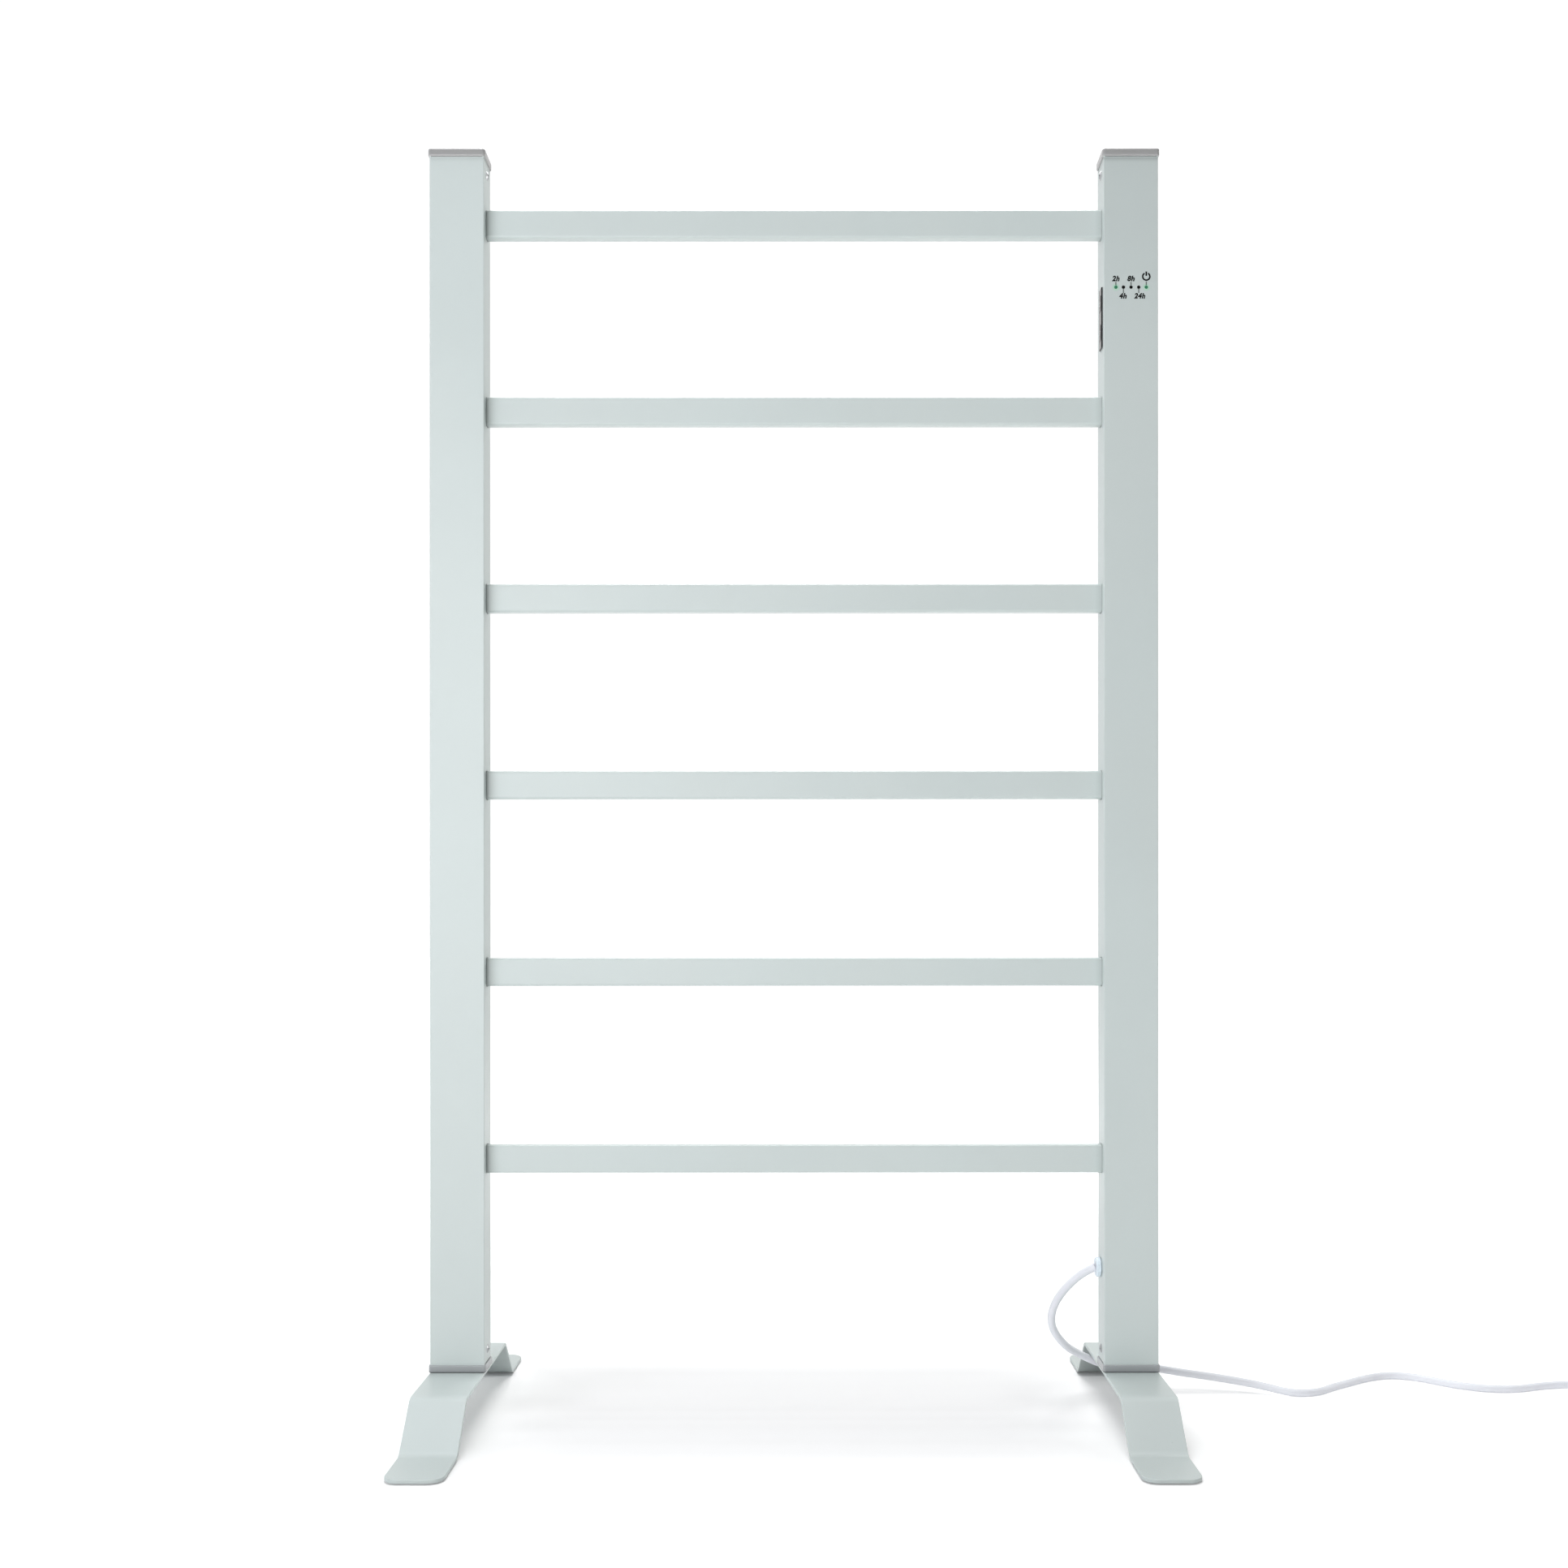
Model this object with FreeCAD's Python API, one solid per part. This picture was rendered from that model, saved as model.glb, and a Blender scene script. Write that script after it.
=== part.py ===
# Free-standing heated towel rack: two rectangular posts, six flat bars, arched
# sheet-metal feet, capped post ends, a control panel with two push buttons on the
# inner side of the right post, and a mains cord.
# Frame: +X to the right, +Y to the rear, +Z up, origin at the middle of the
# footprint on the floor.  Millimetres.
import FreeCAD, Part
import math
import os
from FreeCAD import Vector as V

os.makedirs("parts", exist_ok=True)

# ---------------------------------------------------------------- dimensions
RACK_W = 530.0          # over the outer faces of the posts
RACK_H = 924.0          # floor to top of the caps
FOOT_D = 310.0          # toe to toe

POST_W = 39.5           # along X
POST_D = 25.0           # along Y
POST_T = 1.5            # wall
POST_R = 0.5            # outer corner radius

CAP_H = 5.4             # height of a cap's rim
CAP_OVER = 1.0          # rim stands proud of the post, each side
CAP_R = 2.0
SKIRT_GAP = 0.15        # cap skirt to tube wall
SKIRT_T = 2.2
SKIRT_H = 17.0

BAR_H = 20.5
BAR_D = 8.7
BAR_R = 1.7
BAR_T = 1.1
BAR_Z1 = 872.9          # centre of the top bar
BAR_PITCH = 137.0
BAR_N = 6
BAR_IN = 11.0           # bar end inside the post, from its inner face
SLOT_GAP = 0.45         # slot to bar, each side

SHEET_T = 2.6
PAD_T = 0.8
FOOT_TOP = 33.8         # top of the foot plate
BEND_UP_Y = 75.7        # apex of the upper bend on the top surface
BEND_LO_Y = 108.3       # apex of the lower bend on the top surface
BEND_UP_R = 9.0
BEND_LO_R = 9.0
TOE_R = 10.0
BOLT_Y = 5.0            # foot bolts, each side of the post's middle

SCREW_HEAD_R = 3.4
SCREW_HEAD_H = 1.3
SCREW_R = 1.49
SCREW_OFF = 9.1         # screw centre from the rim

CABLE_R = 2.1           # heating cable
CABLE_X = 250.0         # its vertical runs inside the posts
CABLE_BEND = 11.0

PANEL_Y0, PANEL_Y1 = -7.8, 1.6
PANEL_Z0, PANEL_Z1 = 780.9, 825.2
PANEL_T = 1.05
BTN_W, BTN_H = 5.8, 12.0
BTN_GAP = 0.2
BTN_PROUD = 0.25
BTN_TRAVEL = 0.8
POWER_Z, TIMER_Z = 814.2, 792.8

RELAY_Z0, RELAY_Z1 = 798.0, 812.0     # relay on the control board
BLOCK_Z0, BLOCK_Z1 = 129.0, 159.0     # terminal block

LED_Z = 823.2
LED_X = (234.3, 239.8, 245.3, 250.9, 256.4)
LED_R = 1.2

GROM_Y, GROM_Z = 3.5, 107.3
GROM_R = 7.2
GROM_OUT = 3.8

CORD_R = 2.9
FLOOR_Z = 2.95          # cord centre where it lies on the floor
# corner points of the cord's free route, from the grommet to the coil
ROUTE = [
    (221.7, 3.5, 107.1), (205.9, 5.6, 99.0), (196.2, 11.2, 84.0), (190.9, 18.8, 69.2),
    (193.4, 28.0, 54.1), (202.8, 37.6, 41.4), (216.4, 48.2, 30.2), (236.8, 58.8, 21.4),
    (263.4, 62.6, 16.0), (294.9, 63.7, 12.0), (328.9, 60.4, 8.8), (357.0, 53.6, 5.2),
    (377.0, 43.6, FLOOR_Z), (397.3, 45.8, FLOOR_Z), (412.6, 57.6, FLOOR_Z), (428.8, 69.8, FLOOR_Z),
    (448.2, 83.6, FLOOR_Z), (468.6, 90.6, FLOOR_Z), (487.4, 86.2, FLOOR_Z), (500.8, 73.4, FLOOR_Z),
    (512.8, 60.6, FLOOR_Z), (531.6, 52.6, FLOOR_Z), (554.4, 55.0, FLOOR_Z), (580.0, 61.6, FLOOR_Z),
    (606.0, 65.2, 3.3), (626.0, 64.6, 3.6), (638.0, 64.3, 3.6),
]
COIL_X, COIL_Y = 638.0, 27.9     # middle of the coil
COIL_RO, COIL_RI = 39.3, 21.9    # its outside and its hole
COIL_Z0, COIL_H = 0.7, 11.7
TIE_T = 0.6
# the tail from the coil's outer turn to the plug's boot
PLUG_X, PLUG_Z = 675.0, 11.55
TAIL = [(674.4, 27.9, 9.5), (674.5, 16.5, 9.8), (675.1, 4.5, 10.7), (PLUG_X, -7.0, PLUG_Z)]
PLUG_W, PLUG_H, PLUG_L = 30.0, 23.0, 24.0
BOOT_L = 24.0
PIN_W, PIN_T = 6.3, 1.6
# flat pins in the plug's face: middle in X and Z from the plug's middle, tilt, length
PINS = ((7.1, 6.86, 30.0, 17.3), (7.1, -6.86, -30.0, 17.3), (-7.2, 0.0, 0.0, 19.9))
# small dents in the painted faces: the bars' fronts near the right post, and the feet's front slopes
BAR_DENTS = ((0, 223.6, -3.2, 0.45), (3, 219.4, 0.2, 0.45), (5, 221.9, 2.9, 0.6))
FOOT_DENTS = {"left": ((-263.2, -80.5, 0.5), (-228.3, -80.5, 0.5)), "right": ((255.2, -101.0, 0.45),)}

# ---------------------------------------------------------------- derived
XO = RACK_W / 2.0                 # outer face of a post
XI = XO - POST_W                  # inner face of a post
XM = (XO + XI) / 2.0              # post's middle
XW = XI + POST_T                  # inner surface of the inner wall
XE = XO - POST_T                  # inner surface of the outer wall
YW = POST_D / 2.0 - POST_T        # inner surface of the front and rear walls
POST_Z0 = FOOT_TOP + CAP_H
POST_Z1 = RACK_H - CAP_H
BAR_Z = [BAR_Z1 - BAR_PITCH * i for i in range(BAR_N)]


# ---------------------------------------------------------------- helpers
def save(name, shape):
    shape = shape.removeSplitter() if not isinstance(shape, Part.Compound) else shape
    shape.exportStep("parts/%s.step" % name)
    n = len(shape.Solids)
    print("%-18s solids %2d  valid %s  volume %.1f" % (name, n, shape.isValid(), shape.Volume))


def rrect(cx, cy, w, h, r, z):
    """Rounded rectangle in the plane z, as a closed wire."""
    x0, x1, y0, y1 = cx - w / 2.0, cx + w / 2.0, cy - h / 2.0, cy + h / 2.0
    e = []
    k = r * (1 - math.sqrt(0.5))
    e.append(Part.makeLine(V(x0 + r, y0, z), V(x1 - r, y0, z)))
    e.append(Part.Arc(V(x1 - r, y0, z), V(x1 - k, y0 + k, z), V(x1, y0 + r, z)).toShape())
    e.append(Part.makeLine(V(x1, y0 + r, z), V(x1, y1 - r, z)))
    e.append(Part.Arc(V(x1, y1 - r, z), V(x1 - k, y1 - k, z), V(x1 - r, y1, z)).toShape())
    e.append(Part.makeLine(V(x1 - r, y1, z), V(x0 + r, y1, z)))
    e.append(Part.Arc(V(x0 + r, y1, z), V(x0 + k, y1 - k, z), V(x0, y1 - r, z)).toShape())
    e.append(Part.makeLine(V(x0, y1 - r, z), V(x0, y0 + r, z)))
    e.append(Part.Arc(V(x0, y0 + r, z), V(x0 + k, y0 + k, z), V(x0 + r, y0, z)).toShape())
    return Part.Wire(e)


def rprism(cx, cy, w, h, r, z0, z1):
    return Part.Face(rrect(cx, cy, w, h, r, z0)).extrude(V(0, 0, z1 - z0))


def box(x0, x1, y0, y1, z0, z1):
    return Part.makeBox(x1 - x0, y1 - y0, z1 - z0, V(x0, y0, z0))


def cyl(p, d, r, length):
    return Part.makeCylinder(r, length, V(*p), V(*d))


def xprism(y, z, w, h, r, x0, x1):
    """Rounded bar section in the YZ plane, run along X."""
    s = rprism(0, 0, h, w, r, 0, x1 - x0)          # section: local x is height, local y is depth
    s.rotate(V(0, 0, 0), V(0, 1, 0), 90)           # local z -> +X, local x -> -Z
    s.translate(V(x0, y, z))
    return s


def mirror(shape):
    return shape.mirror(V(0, 0, 0), V(1, 0, 0))


def dent(shape, p, out, r):
    """Shallow round dent of radius r in a face through p, whose outward normal is out."""
    deep = 0.45 * r
    R = (r * r + deep * deep) / (2 * deep)
    ball = Part.makeSphere(R)
    ball.rotate(V(0, 0, 0), V(1, 0, 0), math.degrees(math.atan2(out.z, -out.y)) * -1.0)
    ball.translate(p + out * (R - deep))
    return shape.cut(ball)


def edges_where(shape, test):
    return [e for e in shape.Edges if test(e.BoundBox)]


def tube_path(points, end=None):
    """Straight runs joined by tangent arcs, one at each inner point; prints the radii."""
    P = [V(*p) for p in points]
    edges, radii = [], []
    last = P[0]
    for i in range(1, len(P) - 1):
        a, b = P[i - 1] - P[i], P[i + 1] - P[i]
        la, lb = a.Length, b.Length
        a.normalize()
        b.normalize()
        turn = math.pi - a.getAngle(b)
        cut = 0.45 * min(la, lb)
        r = cut / math.tan(turn / 2.0)
        radii.append(r)
        s, e = P[i] + a * cut, P[i] + b * cut
        bis = a + b
        bis.normalize()
        centre = P[i] + bis * (r / math.cos(turn / 2.0))
        mid = centre - bis * r
        edges.append(Part.LineSegment(last, s).toShape())
        edges.append(Part.Arc(s, mid, e).toShape())
        last = e
    edges.append(Part.LineSegment(last, P[-1]).toShape())
    return Part.Wire(edges), radii


def tube(points, radius, label):
    wire, radii = tube_path(points)
    d = wire.Edges[0].tangentAt(wire.Edges[0].FirstParameter)
    ring = Part.Wire([Part.Circle(V(*points[0]), d, radius).toShape()])
    s = wire.makePipeShell([ring], True, False)
    if s.ShapeType != "Solid":
        s = Part.Solid(s)
    if s.Volume < 0:
        s.reverse()
    want = math.pi * radius * radius * wire.Length
    print("%s: length %.1f, radii %s, volume/section*length %.4f"
          % (label, wire.Length, " ".join("%.0f" % r for r in radii), s.Volume / want))
    return s


# ---------------------------------------------------------------- posts
def post_blank():
    p = rprism(XM, 0, POST_W, POST_D, POST_R, POST_Z0, POST_Z1)
    p = p.cut(box(XW, XE, -YW, YW, POST_Z0 - 1, POST_Z1 + 1))
    for z in BAR_Z:
        p = p.cut(xprism(0, z, BAR_D + 2 * SLOT_GAP, BAR_H + 2 * SLOT_GAP, BAR_R + SLOT_GAP, XI - 1, XW + 1))
    for z in (POST_Z0 + SCREW_OFF, POST_Z1 - SCREW_OFF):
        p = p.cut(cyl((XI - 1, 0, z), (1, 0, 0), 1.75, POST_T + 2))
    # a shallow relief at both ends of the inner wall, where the caps' rims show a gap
    p = p.cut(box(XI - 1, XW + 0.5, -8.6, 13.0, POST_Z0 - 1, POST_Z0 + 0.55))
    p = p.cut(box(XI - 1, XW + 0.5, -11.0, 13.0, POST_Z1 - 0.5, POST_Z1 + 1))
    p = p.cut(box(XI + 1.0, XO - 1.0, -13.0, -YW - 0.2, POST_Z1 - 0.35, POST_Z1 + 1))
    return p


post = post_blank()
save("left_post", mirror(post))

right = post
right = right.cut(box(XI - 1, XW + 1, PANEL_Y0 + 0.9, PANEL_Y1 - 0.9, PANEL_Z0 + 2.0, PANEL_Z1 - 2.0))
for x in LED_X:
    right = right.cut(cyl((x, -POST_D / 2.0 - 1, LED_Z), (0, 1, 0), LED_R + 0.05, POST_T + 2))
right = right.cut(cyl((XI - 1, GROM_Y, GROM_Z), (1, 0, 0), 5.2, POST_T + 2))
right = right.cut(cyl((XM + 10.0, POST_D / 2.0 - 3, 144.0), (0, 1, 0), 1.6, 4))
save("right_post", right)

# ---------------------------------------------------------------- bars
for i, z in enumerate(BAR_Z):
    x1 = XI + BAR_IN
    b = xprism(0, z, BAR_D, BAR_H, BAR_R, -x1, x1)
    b = b.cut(xprism(0, z, BAR_D - 2 * BAR_T, BAR_H - 2 * BAR_T, BAR_R - BAR_T, -x1 - 1, x1 + 1))
    for s in (-1, 1):
        b = b.cut(cyl((s * (XI + 6.5), -10, z + 6.0), (0, 1, 0), 1.3, 20))
    for n, x, dz, r in BAR_DENTS:
        if n == i:
            b = dent(b, V(x, -BAR_D / 2.0, z + dz), V(0, -1, 0), r)
    save("bar_%d" % (i + 1), b)

# moulded holders: one in each post behind every slot, with a pocket for the bar's end
holders = []
pins = []
for z in BAR_Z:
    h = box(XW + 0.05, XI + BAR_IN + 4.0, -YW + 0.1, YW - 0.1, z - 14.0, z + 14.0)
    h = h.cut(xprism(0, z, BAR_D + 0.12, BAR_H + 0.12, BAR_R, XW - 1, XI + BAR_IN + 0.1))
    h = h.cut(xprism(0, z, 5.4, 14.0, 1.5, XW - 1, XI + BAR_IN + 6))
    h = h.cut(cyl((XI + 6.5, -12, z + 6.0), (0, 1, 0), 1.3, 24))
    holders.append(h)
    pins.append(cyl((XI + 6.5, -8.0, z + 6.0), (0, 1, 0), 1.28, 16.0))
save("right_bar_holders", Part.makeCompound(holders))
save("left_bar_holders", Part.makeCompound([mirror(h) for h in holders]))
save("bar_pins", Part.makeCompound(pins + [mirror(p) for p in pins]))


# ---------------------------------------------------------------- heating cable
def cable():
    """One insulated heating cable threaded through the bars in series."""
    pts = [V(CABLE_X, 0, RELAY_Z1 + 0.05), V(CABLE_X, 0, BAR_Z[0])]
    side = -1
    for i in range(BAR_N):
        pts.append(V(side * CABLE_X, 0, BAR_Z[i]))
        if i < BAR_N - 1:
            pts.append(V(side * CABLE_X, 0, BAR_Z[i + 1]))
        side = -side
    pts.append(V(CABLE_X, 0, BLOCK_Z1 + 0.05))
    r = CABLE_BEND
    edges, last = [], pts[0]
    for i in range(1, len(pts) - 1):
        a, b = pts[i - 1] - pts[i], pts[i + 1] - pts[i]
        a.normalize()
        b.normalize()
        s, e = pts[i] + a * r, pts[i] + b * r
        c = pts[i] + (a + b) * r
        m = c - (a + b).normalize() * r
        edges.append(Part.LineSegment(last, s).toShape())
        edges.append(Part.Arc(s, m, e).toShape())
        last = e
    edges.append(Part.LineSegment(last, pts[-1]).toShape())
    w = Part.Wire(edges)
    ring = Part.Wire([Part.Circle(pts[0], V(0, 0, 1), CABLE_R).toShape()])
    s = w.makePipeShell([ring], True, False)
    s = Part.Solid(s) if s.ShapeType != "Solid" else s
    print("heating cable length %.0f volume ratio %.4f" % (w.Length, s.Volume / (math.pi * CABLE_R ** 2 * w.Length)))
    return s


save("heating_cable", cable())


# ---------------------------------------------------------------- post caps
def cap(z0, up, soft):
    """Rim between z0 and z0 + CAP_H and a hollow skirt that enters the tube."""
    rim = rprism(XM, 0, POST_W + 2 * CAP_OVER, POST_D + 2 * CAP_OVER, CAP_R, z0, z0 + CAP_H)
    tops = edges_where(rim, lambda b: abs(b.ZMin - (z0 + CAP_H)) < 1e-6 and abs(b.ZMax - (z0 + CAP_H)) < 1e-6)
    rim = rim.makeFillet(soft[1], tops)
    bots = edges_where(rim, lambda b: abs(b.ZMin - z0) < 1e-6 and abs(b.ZMax - z0) < 1e-6)
    rim = rim.makeFillet(soft[0], bots)
    w, d = XE - XW - 2 * SKIRT_GAP, 2 * YW - 2 * SKIRT_GAP
    s0, s1 = (z0 + CAP_H, z0 + CAP_H + SKIRT_H) if up else (z0 - SKIRT_H, z0)
    skirt = rprism(XM, 0, w, d, 0.6, s0, s1)
    skirt = skirt.cut(rprism(XM, 0, w - 2 * SKIRT_T, d - 2 * SKIRT_T, 0.5, s0 - 1, s1 + 1) if up else
                      rprism(XM, 0, w - 2 * SKIRT_T, d - 2 * SKIRT_T, 0.5, s0 - 1, s1))
    part = rim.fuse(skirt)
    zs = z0 + CAP_H + SCREW_OFF if up else z0 - SCREW_OFF
    part = part.cut(cyl((XW - 1, 0, zs), (1, 0, 0), 1.5, SKIRT_T + 2))
    return part


top_cap = cap(POST_Z1, False, (0.9, 1.0))
save("right_top_cap", top_cap)
save("left_top_cap", mirror(top_cap))

bottom_cap = cap(FOOT_TOP, True, (0.7, 0.6))
for y in (-BOLT_Y, BOLT_Y):
    bottom_cap = bottom_cap.cut(cyl((XM, y, FOOT_TOP - 1), (0, 0, 1), 2.8, 10))
save("right_bottom_cap", bottom_cap)
save("left_bottom_cap", mirror(bottom_cap))

# nut plates inside the bottom caps
nut = box(XM - 15.0, XM + 15.0, -8.3, 8.3, POST_Z0 + 0.02, POST_Z0 + 4.0)
for y in (-BOLT_Y, BOLT_Y):
    nut = nut.cut(cyl((XM, y, POST_Z0 - 1), (0, 0, 1), 2.5, 8))
save("nut_plates", Part.makeCompound([nut, mirror(nut)]))

# self-tapping screws through the posts' inner faces into the cap skirts
screws = []
for z in (POST_Z0 + SCREW_OFF, POST_Z1 - SCREW_OFF):
    shank = cyl((XI - 0.01, 0, z), (1, 0, 0), SCREW_R, 8.0)
    rs = (SCREW_HEAD_R ** 2 + SCREW_HEAD_H ** 2) / (2 * SCREW_HEAD_H)
    head = Part.makeSphere(rs, V(XI - SCREW_HEAD_H + rs, 0, z))
    head = head.common(box(XI - SCREW_HEAD_H - 1, XI, -8, 8, z - 8, z + 8))
    s = head.fuse(shank)
    s = s.cut(box(XI - 3, XI - 0.55, -2.0, 2.0, z - 0.42, z + 0.42))
    s = s.cut(box(XI - 3, XI - 0.55, -0.42, 0.42, z - 2.0, z + 2.0))
    screws.append(s)
save("cap_screws", Part.makeCompound(screws + [mirror(s) for s in screws]))


# ---------------------------------------------------------------- feet
def offset_line(pts, t):
    """Polyline moved sideways by t (to the right of its direction)."""
    segs = []
    for (y0, z0), (y1, z1) in zip(pts[:-1], pts[1:]):
        L = math.hypot(y1 - y0, z1 - z0)
        ny, nz = (z1 - z0) / L * t, -(y1 - y0) / L * t
        segs.append(((y0 + ny, z0 + nz), (y1 + ny, z1 + nz)))
    out = [segs[0][0]]
    for (a, b), (c, d) in zip(segs[:-1], segs[1:]):
        r = (b[0] - a[0], b[1] - a[1])
        s = (d[0] - c[0], d[1] - c[1])
        k = ((c[0] - a[0]) * s[1] - (c[1] - a[1]) * s[0]) / (r[0] * s[1] - r[1] * s[0])
        out.append((a[0] + r[0] * k, a[1] + r[1] * k))
    out.append(segs[-1][1])
    return out


def round_line(pts, radii, x):
    P = [V(x, y, z) for y, z in pts]
    edges, last = [], P[0]
    for i in range(1, len(P) - 1):
        a, b = P[i - 1] - P[i], P[i + 1] - P[i]
        a.normalize()
        b.normalize()
        turn = math.pi - a.getAngle(b)
        r = radii[i - 1]
        cut = r * math.tan(turn / 2.0)
        bis = a + b
        bis.normalize()
        s, e = P[i] + a * cut, P[i] + b * cut
        c = P[i] + bis * (r / math.cos(turn / 2.0))
        edges.append(Part.makeLine(last, s))
        edges.append(Part.Arc(s, c - bis * r, e).toShape())
        last = e
    edges.append(Part.makeLine(last, P[-1]))
    return edges, P[0], P[-1]


toe_top = PAD_T + SHEET_T
half = FOOT_D / 2.0
top_pts = [(-half, toe_top), (-BEND_LO_Y, toe_top), (-BEND_UP_Y, FOOT_TOP),
           (BEND_UP_Y, FOOT_TOP), (BEND_LO_Y, toe_top), (half, toe_top)]
bot_pts = offset_line(top_pts, SHEET_T)
e_top, a0, a1 = round_line(top_pts, [BEND_LO_R, BEND_UP_R, BEND_UP_R, BEND_LO_R], XI)
e_bot, b0, b1 = round_line(bot_pts, [BEND_LO_R + SHEET_T, BEND_UP_R - SHEET_T,
                                     BEND_UP_R - SHEET_T, BEND_LO_R + SHEET_T], XI)
prof = Part.Wire(Part.__sortEdges__(e_top + [Part.makeLine(a1, b1)] + e_bot + [Part.makeLine(b0, a0)]))
foot = Part.Face(prof).extrude(V(POST_W, 0, 0))
foot = foot.common(rprism(XM, 0, POST_W, FOOT_D, TOE_R, -5, 60))
edge_r = 0.45
try:
    rim_edges = [e for e in foot.Edges if not (abs(e.BoundBox.XMin - XI) < 1e-6 and abs(e.BoundBox.XMax - XO) < 1e-6)
                 and not (abs(e.BoundBox.XLength) < 1e-6 and abs(e.BoundBox.YLength) < 1e-6)
                 and e.Length > 1.5 * SHEET_T]
    f2 = foot.makeFillet(edge_r, rim_edges)
    if f2.isValid() and f2.Volume > 0.97 * foot.Volume:
        foot = f2
        print("foot edges rounded", len(rim_edges))
except Exception as err:
    print("foot edges left sharp:", err)
for y in (-BOLT_Y, BOLT_Y):
    foot = foot.cut(cyl((XM, y, 20), (0, 0, 1), 2.8, 20))
slope = math.atan2(FOOT_TOP - toe_top, BEND_LO_Y - BEND_UP_Y)
slope_out = V(0, -math.sin(slope), math.cos(slope))
for side, blank in (("right", foot), ("left", mirror(foot))):
    for x, y, r in FOOT_DENTS[side]:
        blank = dent(blank, V(x, y, FOOT_TOP + (y + BEND_UP_Y) * math.tan(slope)), slope_out, r)
    save(side + "_foot", blank)

bolts = []
under = FOOT_TOP - SHEET_T
for y in (-BOLT_Y, BOLT_Y):
    b = cyl((XM, y, under - 0.01), (0, 0, 1), 2.48, 15.0)
    hd = cyl((XM, y, under - 3.0), (0, 0, 1), 4.6, 3.0)
    hd = hd.makeFillet(1.2, edges_where(hd, lambda q: abs(q.ZMax - (under - 3.0)) < 1e-6))
    b = b.fuse(hd)
    b = b.cut(box(XM - 2.6, XM + 2.6, y - 0.55, y + 0.55, under - 4, under - 1.4))
    b = b.cut(box(XM - 0.55, XM + 0.55, y - 2.6, y + 2.6, under - 4, under - 1.4))
    bolts.append(b)
save("foot_bolts", Part.makeCompound(bolts + [mirror(b) for b in bolts]))

pads = []
for s in (-1, 1):
    y0, y1 = s * (BEND_LO_Y + 9.0), s * (half - 3.0)
    yc, w = (y0 + y1) / 2.0, abs(y1 - y0)
    pads.append(rprism(XM, yc, POST_W - 6.0, w, 6.0, 0.0, PAD_T))
save("foot_pads", Part.makeCompound(pads + [mirror(p) for p in pads]))

# ---------------------------------------------------------------- control panel
yc = (PANEL_Y0 + PANEL_Y1) / 2.0
pw = PANEL_Y1 - PANEL_Y0
zc, ph = (PANEL_Z0 + PANEL_Z1) / 2.0, PANEL_Z1 - PANEL_Z0
plate = xprism(yc, zc, pw, ph, 0.5, XI - PANEL_T, XI - 0.001)
front_edges = edges_where(plate, lambda b: abs(b.XMin - (XI - PANEL_T)) < 1e-6 and abs(b.XMax - (XI - PANEL_T)) < 1e-6)
plate = plate.makeFillet(0.25, front_edges)
neck = xprism(yc, zc, pw - 2.0, ph - 4.2, 0.5, XI - 0.5, XI + 3.5)
bezel = plate.fuse(neck)
for z in (POWER_Z, TIMER_Z):
    bezel = bezel.cut(xprism(yc, z, BTN_W + 2 * BTN_GAP, BTN_H + 2 * BTN_GAP, 1.4 + BTN_GAP, XI - 5, XI + 8))
save("control_bezel", bezel)


def button(z):
    b = xprism(yc, z, BTN_W, BTN_H, 1.4, XI - PANEL_T - BTN_PROUD, XI + 4.0)
    fe = edges_where(b, lambda q: abs(q.XMax - (XI - PANEL_T - BTN_PROUD)) < 1e-6)
    b = b.makeFillet(0.3, fe)
    b = b.fuse(xprism(yc, z, BTN_W + 2.0, BTN_H + 2.0, 1.4, XI + 3.7, XI + 4.6))
    b = b.fuse(cyl((XI + 4.5, yc, z), (1, 0, 0), 1.4, 1.5))
    return b


save("power_button", button(POWER_Z))
save("timer_button", button(TIMER_Z))

BOARD_X = XI + 10.5
board = box(BOARD_X, BOARD_X + 1.6, -6.8, 9.6, PANEL_Z0 - 5.0, LED_Z - 4.0)
save("control_board", board)
sw = []
for z in (POWER_Z, TIMER_Z):
    s = box(BOARD_X - 3.4, BOARD_X - 0.01, yc - 3.0, yc + 3.0, z - 3.0, z + 3.0)
    sw.append(s)
save("button_switches", Part.makeCompound(sw))

relay = box(BOARD_X + 1.62, BOARD_X + 17.5, -2.6, 9.2, RELAY_Z0, RELAY_Z1)
relay = relay.makeFillet(0.5, relay.Edges)
save("board_relay", relay)

# lamp board behind the post's front face, and its light guides
lamp_board = box(XW + 5.5, XE - 1.5, -5.0, -3.6, LED_Z - 3.5, LED_Z + 9.0)
save("lamp_board", lamp_board)
guides = [cyl((x, -POST_D / 2.0 - 0.06, LED_Z), (0, 1, 0), LED_R, 7.5) for x in LED_X]
save("lit_lamps", Part.makeCompound([guides[0], guides[4]]))
save("unlit_lamps", Part.makeCompound([guides[1], guides[2], guides[3]]))

# ---------------------------------------------------------------- mains side
EARTH_X, EARTH_Z = XM + 10.0, 144.0
block = box(XI + 18.5, XE - 1.0, -9.0, 9.0, BLOCK_Z0, BLOCK_Z1)
for k in (-5.5, 0.5, 6.0):
    for z in (BLOCK_Z0 + 7.0, BLOCK_Z1 - 7.0):
        block = block.cut(cyl((XI + 17, k, z), (1, 0, 0), 1.7, 6))
block = block.cut(cyl((EARTH_X, 2.0, EARTH_Z), (0, 1, 0), 1.52, 10))
save("terminal_block", block)

fuse = cyl((XW + 3.42, 0, 214.0), (0, 0, 1), 3.4, 22.0)
fuse = fuse.makeFillet(0.8, edges_where(fuse, lambda b: b.ZLength < 1e-6))
fuse = fuse.fuse(cyl((XW + 3.42, 0, 208.0), (0, 0, 1), 0.8, 34.0))
save("thermal_fuse", fuse)

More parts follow.
